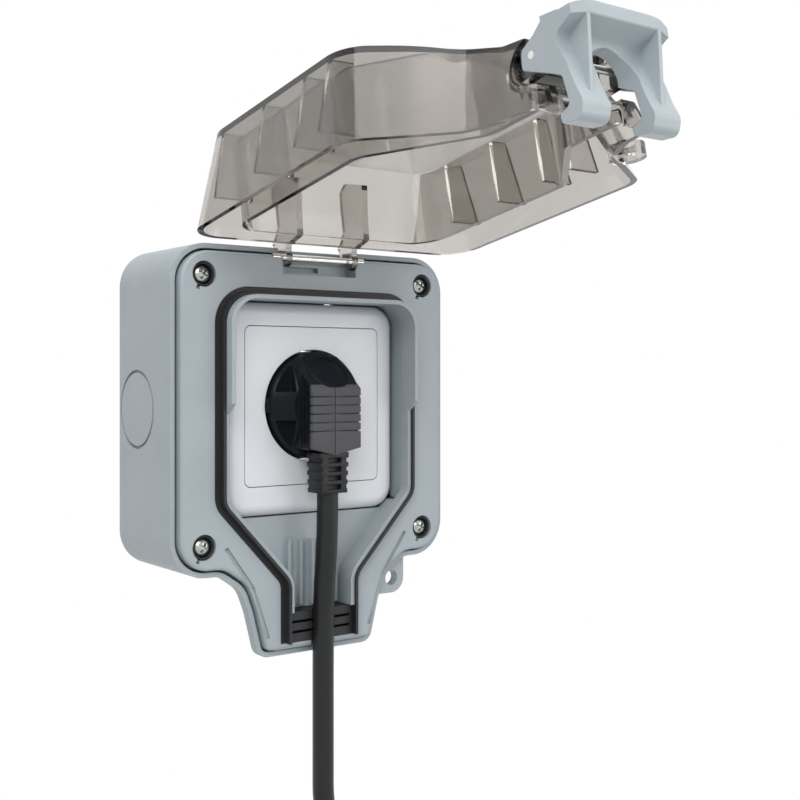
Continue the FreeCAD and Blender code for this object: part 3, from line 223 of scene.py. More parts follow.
def slice_off(piece: bpy.types.Object, at: Point, facing: Point) -> None:
    """Cuts a piece by a plane and takes away what lies on the side that the plane faces.

    Args:
        piece: the closed mesh object.
        at: a point of the plane, in millimetres.
        facing: the plane's normal.
    """
    select_faces(piece, lambda middle, normal: True)
    bpy.ops.mesh.bisect(plane_co=[c * MM for c in at], plane_no=facing, use_fill=True, clear_outer=True)
    bpy.ops.object.mode_set(mode="OBJECT")


def carve(piece: bpy.types.Object, tools: list[bpy.types.Object], operation: str = "DIFFERENCE") -> None:
    """Cuts tools out of a piece, or adds them to it, and removes the tools.

    Args:
        piece: the closed mesh object.
        tools: closed mesh objects.
        operation: DIFFERENCE, UNION or INTERSECT.
    """
    tool = tools[0]
    if len(tools) > 1:
        deselect_all()
        for other in tools:
            other.select_set(True)
        bpy.context.view_layer.objects.active = tool
        bpy.ops.object.join()
    modifier = piece.modifiers.new("carve", "BOOLEAN")
    modifier.object = tool
    modifier.operation = operation
    modifier.solver = "EXACT"
    modifier.use_self = True
    apply_modifiers(piece)
    bpy.data.objects.remove(tool, do_unlink=True)


def soften(piece: bpy.types.Object, width: float, segments: int = 3, angle: float = 32.0) -> None:
    """Rounds a piece's sharp edges and shades it smooth between them.

    Args:
        piece: the mesh object.
        width: the rounding in millimetres.
        segments: how many steps it has.
        angle: edges that turn more than this many degrees are rounded.
    """
    modifier = piece.modifiers.new("soften", "BEVEL")
    modifier.width = width * MM
    modifier.segments = segments
    modifier.limit_method = "ANGLE"
    modifier.angle_limit = math.radians(angle)
    modifier.harden_normals = False
    apply_modifiers(piece)
    activate(piece)
    bpy.ops.object.shade_smooth_by_angle(angle=math.radians(SMOOTH_DEGREES))


def weld(pieces: list[bpy.types.Object]) -> bpy.types.Object:
    """Makes several shapes one object.

    Args:
        pieces: the mesh objects; the first gives its name.

    Returns:
        The joined object.
    """
    deselect_all()
    for piece in pieces:
        piece.select_set(True)
    bpy.context.view_layer.objects.active = pieces[0]
    if len(pieces) > 1:
        bpy.ops.object.join()
    return pieces[0]


def fit(piece: bpy.types.Object, finish: bpy.types.Material, body: str, slot: str,
        *nodes: str) -> bpy.types.Object:
    """Gives a finished piece its material, the body it rides on and the nodes that it stands for.

    Args:
        piece: the finished mesh object.
        finish: its material.
        body: the body that carries it.
        slot: the record's material slot; not used.
        nodes: the CAD nodes that it replaces.

    Returns:
        The same object.
    """
    piece.data.materials.clear()
    piece.data.materials.append(finish)
    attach(piece, body)
    if nodes:
        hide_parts(*nodes)
    LOG.info("%s: %d faces", piece.name, len(piece.data.polygons))
    return piece


class ShaderGroups:
    """The node groups that several finishes share."""

    def __init__(self) -> None:
        """Builds each group once."""
        self.grain = self._grain()
        self.handling = self._handling()
        self.panel = self._panel()

    @staticmethod
    def _new(name: str, inputs: dict[str, tuple[str, object]],
             outputs: dict[str, str]) -> bpy.types.NodeTree:
        """Makes an empty group with named sockets.

        Args:
            name: the group's name.
            inputs: socket name to its type and starting value.
            outputs: socket name to its type.

        Returns:
            The group.
        """
        tree = bpy.data.node_groups.new(name, "ShaderNodeTree")
        for label, (kind, start) in inputs.items():
            socket = tree.interface.new_socket(name=label, in_out="INPUT", socket_type=kind)
            if start is not None:
                socket.default_value = start
        for label, kind in outputs.items():
            tree.interface.new_socket(name=label, in_out="OUTPUT", socket_type=kind)
        return tree

    def _grain(self) -> bpy.types.NodeTree:
        """Makes the fine texture of a moulding: a bump height and a small change of shade.

        Returns:
            The group.
        """
        tree = self._new(
            "moulded_grain",
            {"Vector": ("NodeSocketVector", None), "Scale": ("NodeSocketFloat", 1400.0)},
            {"Height": "NodeSocketFloat", "Shade": "NodeSocketFloat"},
        )
        nodes, link = tree.nodes, tree.links.new
        into = nodes.new("NodeGroupInput")
        out = nodes.new("NodeGroupOutput")
        fine = nodes.new("ShaderNodeTexNoise")
        dial(fine, {"Detail": 3.0, "Roughness": 0.6})
        broad = nodes.new("ShaderNodeTexNoise")
        dial(broad, {"Scale": 38.0, "Detail": 4.0})
        ramp = nodes.new("ShaderNodeMapRange")
        dial(ramp, {"From Min": 0.3, "From Max": 0.7})
        link(into.outputs["Vector"], fine.inputs["Vector"])
        link(into.outputs["Scale"], fine.inputs["Scale"])
        link(into.outputs["Vector"], broad.inputs["Vector"])
        link(broad.outputs["Fac"], ramp.inputs["Value"])
        link(fine.outputs["Fac"], out.inputs["Height"])
        link(ramp.outputs["Result"], out.inputs["Shade"])
        return tree

    def _panel(self) -> bpy.types.NodeTree:
        """Makes a mask that is 1 on what stands further out from the wall than a given depth.

        Returns:
            The group.
        """
        tree = self._new(
            "front_panel",
            {"Vector": ("NodeSocketVector", None), "Depth": ("NodeSocketFloat", 0.05)},
            {"Mask": "NodeSocketFloat"},
        )
        nodes, link = tree.nodes, tree.links.new
        into = nodes.new("NodeGroupInput")
        out = nodes.new("NodeGroupOutput")
        split = nodes.new("ShaderNodeSeparateXYZ")
        total = nodes.new("ShaderNodeMath")
        total.operation = "ADD"
        ramp = nodes.new("ShaderNodeMapRange")
        dial(ramp, {"From Min": 0.0001, "From Max": -0.0003})
        link(into.outputs["Vector"], split.inputs["Vector"])
        link(split.outputs["Y"], total.inputs[0])
        link(into.outputs["Depth"], total.inputs[1])
        link(total.outputs[0], ramp.inputs["Value"])
        link(ramp.outputs["Result"], out.inputs["Mask"])
        return tree

    def _handling(self) -> bpy.types.NodeTree:
        """Makes the faint smudges left by handling, as a change of roughness.

        Returns:
            The group.
        """
        tree = self._new(
            "handling_smudges",
            {
                "Vector": ("NodeSocketVector", None),
                "Roughness": ("NodeSocketFloat", 0.5),
                "Amount": ("NodeSocketFloat", 0.06),
            },
            {"Roughness": "NodeSocketFloat"},
        )
        nodes, link = tree.nodes, tree.links.new
        into = nodes.new("NodeGroupInput")
        out = nodes.new("NodeGroupOutput")
        noise = nodes.new("ShaderNodeTexNoise")
        dial(noise, {"Scale": 55.0, "Detail": 6.0, "Distortion": 0.8})
        centred = nodes.new("ShaderNodeMath")
        centred.operation = "SUBTRACT"
        centred.inputs[1].default_value = 0.5
        scaled = nodes.new("ShaderNodeMath")
        scaled.operation = "MULTIPLY"
        total = nodes.new("ShaderNodeMath")
        total.operation = "ADD"
        total.use_clamp = True
        link(into.outputs["Vector"], noise.inputs["Vector"])
        link(noise.outputs["Fac"], centred.inputs[0])
        link(centred.outputs[0], scaled.inputs[0])
        link(into.outputs["Amount"], scaled.inputs[1])
        link(scaled.outputs[0], total.inputs[0])
        link(into.outputs["Roughness"], total.inputs[1])
        link(total.outputs[0], out.inputs["Roughness"])
        return tree

    def smudge(self, tree: bpy.types.NodeTree, where: bpy.types.Node, roughness: float,
               amount: float = 0.06) -> None:
        """Lets the smudges change a finish's roughness.

        Args:
            tree: the material's nodes.
            where: its texture coordinates.
            roughness: the roughness without smudges.
            amount: how much they change it.
        """
        smudges = tree.nodes.new("ShaderNodeGroup")
        smudges.node_tree = self.handling
        dial(smudges, {"Roughness": roughness, "Amount": amount})
        tree.links.new(where.outputs["Object"], smudges.inputs["Vector"])
        tree.links.new(smudges.outputs["Roughness"], tree.nodes["Principled BSDF"].inputs["Roughness"])


@dataclass(frozen=True)
class Moulding:
    """An opaque moulded finish: plastic or rubber with its own grain and rounded edges."""

    name: str
    colour: Colour
    roughness: float
    grain: Grain
    shade: float = 0.05
    specular: float = 0.5
    edge: float = 0.0003

    def build(self, groups: ShaderGroups) -> bpy.types.Material:
        """Makes the material.

        Args:
            groups: the shared node groups.

        Returns:
            The new material.
        """
        material = bpy.data.materials.new(self.name)
        material.use_nodes = True
        nodes, links = material.node_tree.nodes, material.node_tree.links
        skin = nodes["Principled BSDF"]
        skin.inputs["Specular IOR Level"].default_value = self.specular
        where = nodes.new("ShaderNodeTexCoord")
        grain = nodes.new("ShaderNodeGroup")
        grain.node_tree = groups.grain
        scale, height = self.grain.value
        grain.inputs["Scale"].default_value = scale
        links.new(where.outputs["Object"], grain.inputs["Vector"])
        mix = nodes.new("ShaderNodeMix")
        mix.data_type = "RGBA"
        low = tuple(c * (1.0 - self.shade) for c in self.colour)
        high = tuple(min(1.0, c * (1.0 + self.shade)) for c in self.colour)
        dial(mix, {"A": (*low, 1.0), "B": (*high, 1.0)})
        links.new(grain.outputs["Shade"], mix.inputs["Factor"])
        links.new(mix.outputs["Result"], skin.inputs["Base Color"])
        groups.smudge(material.node_tree, where, self.roughness)
        soft = nodes.new("ShaderNodeBevel")
        soft.samples = 4
        soft.inputs["Radius"].default_value = self.edge
        bump = nodes.new("ShaderNodeBump")
        dial(bump, {"Strength": 0.6, "Distance": height})
        links.new(grain.outputs["Height"], bump.inputs["Height"])
        links.new(soft.outputs["Normal"], bump.inputs["Normal"])
        links.new(bump.outputs["Normal"], skin.inputs["Normal"])
        return material


@dataclass(frozen=True)
class LitFacePlastic(Moulding):
    """A glossy dark moulding whose outermost face is rougher and painted paler, for the light that falls on
    it.
    """

    panel_depth: float = 0.0522
    # painted light: the paler colour of the outermost face stands for the light that it catches
    panel_painted_light: Colour = (0.10, 0.101, 0.11)
    panel_roughness: float = 0.62

    def build(self, groups: ShaderGroups) -> bpy.types.Material:
        """Makes the material.

        Args:
            groups: the shared node groups.

        Returns:
            The new material.
        """
        material = super().build(groups)
        nodes, links = material.node_tree.nodes, material.node_tree.links
        skin = nodes["Principled BSDF"]
        where = nodes.new("ShaderNodeTexCoord")
        panel = nodes.new("ShaderNodeGroup")
        panel.node_tree = groups.panel
        panel.inputs["Depth"].default_value = self.panel_depth
        links.new(where.outputs["Object"], panel.inputs["Vector"])
        # Painted light: the outermost face is mixed towards a paler colour that stands for the light
        # falling on it.
        colour = nodes.new("ShaderNodeMix")
        colour.data_type = "RGBA"
        colour.inputs["B"].default_value = (*self.panel_painted_light, 1.0)
        links.new(skin.inputs["Base Color"].links[0].from_socket, colour.inputs["A"])
        links.new(panel.outputs["Mask"], colour.inputs["Factor"])
        links.new(colour.outputs["Result"], skin.inputs["Base Color"])
        gloss = nodes.new("ShaderNodeMix")
        gloss.inputs["B"].default_value = self.panel_roughness
        links.new(skin.inputs["Roughness"].links[0].from_socket, gloss.inputs["A"])
        links.new(panel.outputs["Mask"], gloss.inputs["Factor"])
        links.new(gloss.outputs["Result"], skin.inputs["Roughness"])
        return material


@dataclass(frozen=True)
class Metal:
    """A bright metal finish with faint smudges in its roughness."""

    name: str
    colour: Colour
    roughness: float

    def build(self, groups: ShaderGroups) -> bpy.types.Material:
        """Makes the material.

        Args:
            groups: the shared node groups.

        Returns:
            The new material.
        """
        material = bpy.data.materials.new(self.name)
        material.use_nodes = True
        nodes = material.node_tree.nodes
        skin = nodes["Principled BSDF"]
        dial(skin, {"Base Color": (*self.colour, 1.0), "Metallic": 1.0})
        where = nodes.new("ShaderNodeTexCoord")
        groups.smudge(material.node_tree, where, self.roughness, 0.2)
        return material


@dataclass(frozen=True)
class SmokedClear:
    """A see-through smoked plastic that darkens where its walls overlap."""

    name: str
    colour: Colour
    shade: Colour
    roughness: float
    density: float

    def build(self, groups: ShaderGroups) -> bpy.types.Material:
        """Makes the material.

        Args:
            groups: the shared node groups.

        Returns:
            The new material.
        """
        material = bpy.data.materials.new(self.name)
        material.use_nodes = True
        nodes, links = material.node_tree.nodes, material.node_tree.links
        skin = nodes["Principled BSDF"]
        dial(skin, {"Base Color": (*self.colour, 1.0), "IOR": 1.49, "Transmission Weight": 1.0})
        where = nodes.new("ShaderNodeTexCoord")
        groups.smudge(material.node_tree, where, self.roughness)
        depth = nodes.new("ShaderNodeVolumeAbsorption")
        dial(depth, {"Color": (*self.shade, 1.0), "Density": self.density})
        links.new(depth.outputs[0], nodes["Material Output"].inputs["Volume"])
        through = nodes.new("ShaderNodeBsdfTransparent")
        through.inputs["Color"].default_value = (*self.colour, 1.0)
        path = nodes.new("ShaderNodeLightPath")
        mix = nodes.new("ShaderNodeMixShader")
        links.new(path.outputs["Is Shadow Ray"], mix.inputs["Fac"])
        links.new(skin.outputs[0], mix.inputs[1])
        links.new(through.outputs[0], mix.inputs[2])
        links.new(mix.outputs[0], nodes["Material Output"].inputs["Surface"])
        return material


@dataclass
class Studio:
    """The plain white studio: floor, lamps, background and the photograph's camera."""

    lens: float = 53.43
    shift_y: float = -0.0317
    camera_at: Point = (-0.22542, -0.39410, 0.01187)
    yaw: float = 0.637858
    floor_z: float = -0.75
    floor_side: float = 6.0
    room_strength: float = 0.42

    def build_camera(self) -> None:
        """Sets the camera at the photograph's viewpoint."""
        data = bpy.data.cameras.new("view_camera")
        data.lens = self.lens
        data.sensor_width = 36.0
        data.shift_y = self.shift_y
        data.clip_start = 0.01
        camera = bpy.data.objects.new("view_camera", data)
        camera.location = self.camera_at
        camera.rotation_euler = Euler((math.pi / 2, 0.0, -self.yaw))
        bpy.context.scene.collection.objects.link(camera)
        bpy.context.scene.camera = camera

    @staticmethod
    def _lamp(name: str, at: Point, aim: Point, size: float, power: float) -> None:
        """Hangs one square soft box.

        Args:
            name: the lamp's name.
            at: where it hangs.
            aim: the point that it faces.
            size: its side.
            power: its output in watts.
        """
        data = bpy.data.lights.new(name, "AREA")
        data.shape = "SQUARE"
        data.size = size
        data.energy = power
        lamp = bpy.data.objects.new(name, data)
        lamp.location = at
        lamp.rotation_euler = (Vector(aim) - Vector(at)).to_track_quat("-Z", "Y").to_euler()
        bpy.context.scene.collection.objects.link(lamp)

    @staticmethod
    def _seen_directly(nodes: bpy.types.Nodes, links: bpy.types.NodeLinks) -> bpy.types.NodeSocket:
        """Tells rays that come from the camera, a gloss or a clear wall from those that carry light.

        Args:
            nodes: the material's or the world's nodes.
            links: its links.

        Returns:
            The socket that is 1 for such a ray.
        """
        path = nodes.new("ShaderNodeLightPath")
        seen = path.outputs["Is Camera Ray"]
        for ray in ("Is Glossy Ray", "Is Transmission Ray"):
            either = nodes.new("ShaderNodeMath")
            either.operation = "MAXIMUM"
            links.new(seen, either.inputs[0])
            links.new(path.outputs[ray], either.inputs[1])
            seen = either.outputs[0]
        return seen

    def build_light(self) -> None:
        """Hangs the lamps and lights the room."""
        self._lamp("key_box", (-0.9, -1.1, 0.9), (0.0, -0.05, 0.0), 0.9, 14.0)
        self._lamp("fill_box", (0.9, -1.2, 0.3), (0.0, -0.05, 0.0), 1.0, 5.0)
        self._lamp("top_box", (0.0, -0.3, 1.3), (0.0, -0.1, 0.0), 1.0, 6.0)
        world = bpy.data.worlds.new("white_room")
        bpy.context.scene.world = world
        world.use_nodes = True
        nodes, links = world.node_tree.nodes, world.node_tree.links
        room = nodes["Background"]
        dial(room, {"Color": (1.0, 1.0, 1.0, 1.0), "Strength": self.room_strength})
        paper = nodes.new("ShaderNodeBackground")
        dial(paper, {"Color": (1.0, 1.0, 1.0, 1.0), "Strength": 1.0})
        mix = nodes.new("ShaderNodeMixShader")
        links.new(self._seen_directly(nodes, links), mix.inputs["Fac"])
        links.new(room.outputs[0], mix.inputs[1])
        links.new(paper.outputs[0], mix.inputs[2])
        links.new(mix.outputs[0], nodes["World Output"].inputs["Surface"])

    def build_floor(self) -> None:
        """Lays the plain pale floor well below the hanging cord."""
        deselect_all()
        bpy.ops.mesh.primitive_plane_add(size=self.floor_side, location=(0.0, 0.0, self.floor_z))
        floor = bpy.context.object
        floor.name = "studio_floor"
        material = bpy.data.materials.new("floor_paper")
        material.use_nodes = True
        nodes, links = material.node_tree.nodes, material.node_tree.links
        skin = nodes["Principled BSDF"]
        dial(skin, {"Base Color": (0.86, 0.86, 0.86, 1.0), "Roughness": 0.9})
        glow = nodes.new("ShaderNodeEmission")
        glow.inputs["Color"].default_value = (1.0, 1.0, 1.0, 1.0)
        mix = nodes.new("ShaderNodeMixShader")
        links.new(self._seen_directly(nodes, links), mix.inputs["Fac"])
        links.new(skin.outputs[0], mix.inputs[1])
        links.new(glow.outputs[0], mix.inputs[2])
        links.new(mix.outputs[0], nodes["Material Output"].inputs["Surface"])
        floor.data.materials.append(material)


@dataclass
class Lead:
    """The plug's cord: it hangs straight, then its stored length is a tied coil."""

    # Where each turn lies in the bundle, outwards and sideways, in steps of the cord's pitch.
    LAY = ((0.0, 0.0), (1.0, 0.0), (0.5, 0.87), (-0.5, 0.87), (-1.0, 0.0), (-0.5, -0.87), (0.5, -0.87),
           (0.0, -1.74))

    diameter: float = 0.0075
    length: float = 1.8
    top: Point = (0.0, -0.0477, -0.029)
    comb_y: float = -0.0449
    coil_centre: Point = (0.0, -0.0459, -0.2075)
    coil_radius: float = 0.041
    connector_at: Point = (-0.037, -0.0663, -0.2315)
    tail_radius: float = 0.026
    tail_steps: int = 10
    lean_steps: int = 6
    start_degrees: float = 42.0
    pitch_share: float = 1.04
    into_connector: float = 0.012
    turns: int = 6
    points_per_turn: int = 16

    def _route(self) -> list[Point]:
        """Lays the cord out from the boot to the connector.

        Returns:
            The control points of the hanging stretch, the coil's turns and the tail, in order.
        """
        x0, y0, z0 = self.top
        low = self.comb_y - 0.001
        hanging = [
            (x0, y0, z0),
            (x0, y0, z0 - 0.0175),
            (x0, self.comb_y, z0 - 0.037),
            (x0, self.comb_y, z0 - 0.094),
            (x0, self.comb_y, z0 - 0.1105),
            (0.0055, low, z0 - 0.129),
            (0.0185, low, z0 - 0.144),
        ]
        start = math.radians(self.start_degrees)
        coil = self._coil(start)
        return hanging + coil + self._tail(start, coil[-1][1])

    def _coil(self, start: float) -> list[Point]:
        """Lays out the coil's turns.

        Args:
            start: the angle at which the cord joins the coil.

        Returns:
            The control points, in order.
        """
        cx, cy, cz = self.coil_centre
        pitch = self.diameter * self.pitch_share
        places = len(self.LAY)
        points = []
        for step in range(self.turns * self.points_per_turn + 1):
            share = step / self.points_per_turn
            turn = min(int(share), self.turns - 1)
            # The cord crosses to its next place in the last fifth of a turn.
            blend = min(1.0, max(0.0, (share - turn) * 5.0 - 4.0))
            here, then = self.LAY[(turn + 1) % places], self.LAY[(turn + 2) % places]
            out = pitch * (here[0] * (1 - blend) + then[0] * blend)
            side = pitch * (here[1] * (1 - blend) + then[1] * blend)
            angle = start - 2 * math.pi * share
            radius = self.coil_radius + out
            points.append((cx + radius * math.cos(angle), cy + side, cz + radius * math.sin(angle)))
        return points

    def _tail(self, start: float, side: float) -> list[Point]:
        """Lays out the cord's last bend, which leads up into the connector.

        Args:
            start: the angle at which the cord leaves the coil.
            side: the Y at which it leaves.

        Returns:
            The control points, in order.
        """
        cx, _, cz = self.coil_centre
        end_x, end_y, end_z = self.connector_at
        bend = self.tail_radius
        points = []
        for step in range(1, self.tail_steps + 1):
            share = step / self.tail_steps
            lean = min(1.0, step / self.lean_steps)
            lean = lean * lean * (3 - 2 * lean)
            angle = start - (start + math.pi) * share
            radius = self.coil_radius * (1 - lean) + bend * lean
            x = cx * (1 - lean) + (end_x + bend) * lean + radius * math.cos(angle)
            z = cz * (1 - lean) + end_z * lean + radius * math.sin(angle)
            points.append((x, side * (1 - share) + end_y * share, z))
        points.append((end_x, end_y, end_z + self.into_connector))
        return points

    def build(self, finish: bpy.types.Material, pieces: list[bpy.types.Object]) -> bpy.types.Object:
        """Args:
            finish: the cord's sheath.
            pieces: the separate pieces on the cord; not used.

        Returns:
            The cord's curve object.
        """
        curve = bpy.data.curves.new("lead_sheath", "CURVE")
        curve.dimensions = "3D"
        curve.bevel_depth = self.diameter / 2
        curve.bevel_resolution = 5
        curve.resolution_u = 6
        curve.use_fill_caps = True
        route = self._route()
        spline = curve.splines.new("NURBS")
        spline.points.add(len(route) - 1)
        for point, place in zip(spline.points, route):
            point.co = (*place, 1.0)
        spline.order_u = 3
        spline.use_endpoint_u = True
        cord = bpy.data.objects.new("lead_sheath", curve)
        bpy.context.scene.collection.objects.link(cord)
        curve.materials.append(finish)
        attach(cord, "base")
        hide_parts("lead", "lead_coil")
        return cord


@dataclass
class Plug:
    """The angled plug: a round disc in the socket, a ramp up to a ribbed grip, and its boot."""

    middle_z: float = 1.0
    radius: float = 18.7
    back: float = 21.1
    rim_front: float = 40.6
    face_front: float = 44.8
    grip_half: float = 9.9
    grip_front: float = 53.7
    grip_top: float = 7.0
    grip_corner: float = -13.4
    grip_tip: float = -15.9
    grip_valley: float = 1.1
    rib_first: float = 4.3
    rib_pitch: float = 2.95
    rib_count: int = 5
    groove_half: float = 0.16
    notch_half: float = 0.35
    flute_count: int = 3
    flute_pitch: float = 1.75
    flute_half: float = 0.42
    seam_half: float = 0.14
    hollow_half: float = 7.2
    hollow_depth: float = 1.1
    hollow_share: float = 0.46
    bridge_half: float = 5.0
    channel_half: float = 3.4
    channel_depth: float = 1.6
    cord_bore: float = 4.5
    boot_depth: float = 47.7
    boot_half_width: float = 5.9
    boot_half_depth: float = 4.6
    boot_foot: float = -29.0
    boot_gaps: int = 4

    def build_body(self, finish: bpy.types.Material) -> bpy.types.Object:
        """Models the moulded body.

        Args:
            finish: its plastic.

        Returns:
            The body.
        """
        disc = self._face()
        top = self.middle_z + self.radius
        rise, out = top - 0.8 - self.grip_top, self.grip_front - self.rim_front - 0.6
        carve(disc, [self._grip(rise, out)], "UNION")
        carve(disc, [self._thumb_hollow(rise, out)])
        for side in (-1.0, 1.0):
            self._pockets(disc, side)
            edge = self.middle_z + side * self.radius
            low, high = sorted((edge - side * self.channel_depth, edge + side * 1.0))
            carve(disc, [add_block("channel", (-self.channel_half, -(self.rim_front - 0.6), low),
                                   (self.channel_half, -(self.back - 1.0), high))])
        carve(disc, [add_rod("bore", (0.0, -self.boot_depth, -17.0), self.cord_bore, 12.0, "Z", 32)])
        tab = add_block("tab", (-self.radius - 0.7, -40.2, self.middle_z - 2.2),
                        (-self.radius + 2.0, -37.2, self.middle_z + 2.6))
        carve(disc, [tab], "UNION")
        soften(disc, 0.22, 2, 28.0)
        return fit(disc, finish, "base", "black_plastic", "plug_body")

    def _face(self) -> bpy.types.Object:
        """Models the round body: a straight rim, then a shallow cone up to the grip's foot.

        Returns:
            The round body.
        """
        length = self.rim_front - self.back
        middle = (0.0, -(self.back + length / 2), self.middle_z)
        disc = add_rod("plug_moulding", middle, self.radius, length, "Y", 128)
        cone = self.face_front - self.rim_front - 0.35
        draw_out(disc, (0.0, -1.0, 0.0), [(0.35, 0.985), (cone, 0.62)], (0.0, 0.0, self.middle_z))
        return disc

    def _grip(self, rise: float, out: float) -> bpy.types.Object:
        """Models the grip with its ramp, dished front, ribs and flutes.

        Args:
            rise: how far the ramp goes up.
            out: how far it goes out.

        Returns:
            The grip.
        """
        half, front = self.grip_half, -self.grip_front
        grip = add_block("plug_grip", (-half, front, self.grip_tip - 1.0),
                         (half, -self.rim_front + 4.0, self.middle_z + self.radius - 1.2))
        valley = math.atan2(self.grip_valley, half)
        drop = self.grip_corner - self.grip_tip
        for side in (-1.0, 1.0):
            self._dish(grip, side, (side * -math.sin(valley), -math.cos(valley), 0.0))
            slice_off(grip, (side * half, front, self.grip_corner), (side * drop / half, 0.0, -1.0))
            slice_off(grip, (side * half, front, self.grip_top + 0.3), (side * 1.0, -0.12, 0.36))
        slice_off(grip, (0.0, front, self.grip_top), (0.0, -rise, out))
        middle = (0.0, -self.face_front, self.middle_z)
        bounds = add_rod("bounds", middle, self.radius - 0.15, 40.0, "Y", 128)
        low_half = add_block("low_half", (-self.radius, -self.face_front - 19.0, -self.radius - 10.0),
                             (self.radius, -self.face_front + 19.0, self.middle_z))
        carve(bounds, [low_half], "UNION")
        carve(grip, [bounds], "INTERSECT")
        self._rib(grip)
        return grip

    def _rib(self, grip: bpy.types.Object) -> None:
        """Cuts the thin ribs of the grip's front, the flutes of its sides and its middle seam.

        Args:
            grip: the grip's block.
        """
        half, front = self.grip_half, -self.grip_front
        for index in range(self.rib_count):
            z = self.rib_first - index * self.rib_pitch
            carve(grip, [add_block("groove", (-half - 1.0, front - 1.0, z - self.groove_half),
                                   (half + 1.0, front + self.grip_valley + 0.05, z + self.groove_half))])
            for side in (-1.0, 1.0):
                x0, x1 = sorted((side * (half - 0.4), side * (half + 1.0)))
                carve(grip, [add_block("notch", (x0, front - 1.0, z - self.notch_half),
                                       (x1, front + 1.5, z + self.notch_half))])
        for index in range(self.flute_count):
            depth = self.face_front + 1.9 + index * self.flute_pitch
            top = self.grip_top + 4.6 - index * 1.4
            for side in (-1.0, 1.0):
                x0, x1 = sorted((side * (half - 0.9), side * (half + 1.0)))
                carve(grip, [add_block("flute", (x0, -depth - self.flute_half, self.grip_corner + 1.2),
                                       (x1, -depth + self.flute_half, top))])
        carve(grip, [add_block("seam", (-self.seam_half, front - 1.0, self.grip_tip - 2.0),
                               (self.seam_half, front + self.grip_valley + 0.3, self.grip_top + 1.0))])

    def _thumb_hollow(self, rise: float, out: float) -> bpy.types.Object:
        """Makes the tool that cuts the shallow oval hollow of the ramp.

        Args:
            rise: how far the ramp goes up.
            out: how far it goes out.

        Returns:
            The tool.
        """
        deselect_all()
        share = self.hollow_share
        bpy.ops.mesh.primitive_uv_sphere_add(segments=64, ring_count=32, radius=1.0)
        tool = bpy.context.object
        half_length = math.hypot(rise, out) * 0.47
        tool.scale = (self.hollow_half * MM, self.hollow_depth * MM, half_length * MM)
        tool.rotation_euler = (-math.atan2(out, rise), 0.0, 0.0)
        middle = (0.0, -(self.grip_front - out * share), self.grip_top + rise * share)
        tool.location = [c * MM for c in middle]
        return settle(tool)

    def _pockets(self, disc: bpy.types.Object, side: float) -> None:
        """Sinks the two hollows of the face beside the grip and leaves the bridge between them.

        Args:
            disc: the plug's body.
            side: -1 for the left side, 1 for the right.
        """
        for up in (-1.0, 1.0):
            x0, x1 = sorted((side * (self.grip_half + 0.7), side * (self.radius - 0.9)))
            z0, z1 = sorted((self.middle_z + up * self.bridge_half, self.middle_z + up * 15.0))
            pocket = add_block("pocket", (x0, -self.face_front - 2.0, z0), (x1, -self.rim_front - 0.5, z1))
            middle = (0.0, -self.rim_front, self.middle_z)
            bounds = add_rod("bounds", middle, self.radius - 1.0, 20.0, "Y", 96)
            carve(pocket, [bounds], "INTERSECT")
            carve(disc, [pocket])

    def _dish(self, grip: bpy.types.Object, side: float, facing: Point) -> None:
        """Slopes one half of the grip's front down to the middle line.

        Args:
            grip: the grip's block.
            side: -1 for the left half, 1 for the right.
            facing: the normal of that half.
        """
        x0, x1 = sorted((0.0, side * (self.grip_half + 3.0)))
        wedge = add_block("wedge", (x0, -self.grip_front - 4.0, -30.0), (x1, -self.grip_front + 4.0, 30.0))
        slice_off(wedge, (0.0, -self.grip_front + self.grip_valley, 0.0), tuple(-c for c in facing))
        carve(grip, [wedge])

    def build_boot(self, finish: bpy.types.Material) -> bpy.types.Object:
        """Models the ribbed strain relief below the grip.

        Args:
            finish: its rubber.

        Returns:
            The boot.
        """
        wide, deep, depth = self.boot_half_width, self.boot_half_depth, self.boot_depth
        top = self.grip_tip + 0.9
        boot = add_block("plug_boot", (-wide, -depth - deep, self.boot_foot), (wide, -depth + deep, top))
        for side in (-1.0, 1.0):
            slice_off(boot, (side * wide, 0.0, top), (side * 1.0, 0.0, -0.05))
        pitch = (top - self.boot_foot) / (self.boot_gaps + 0.6)
        tall = pitch * 0.24
        for index in range(self.boot_gaps):
            z = self.boot_foot + pitch * (index + 0.72)
            for side in (-1.0, 1.0):
                x0, x1 = sorted((side * (wide - 1.0), side * (wide + 2.0)))
                carve(boot, [add_block("gap", (x0, -depth - 9.0, z - tall), (x1, -depth + 9.0, z + tall))])
                y0, y1 = sorted((-depth + side * (deep - 2.2), -depth + side * (deep + 2.0)))
                carve(boot, [add_block("slot", (-2.7, y0, z - tall * 1.25), (2.7, y1, z + tall * 1.25))])
        soften(boot, 0.3, 2, 30.0)
        return fit(boot, finish, "base", "black_rubber", "plug_strain_relief")


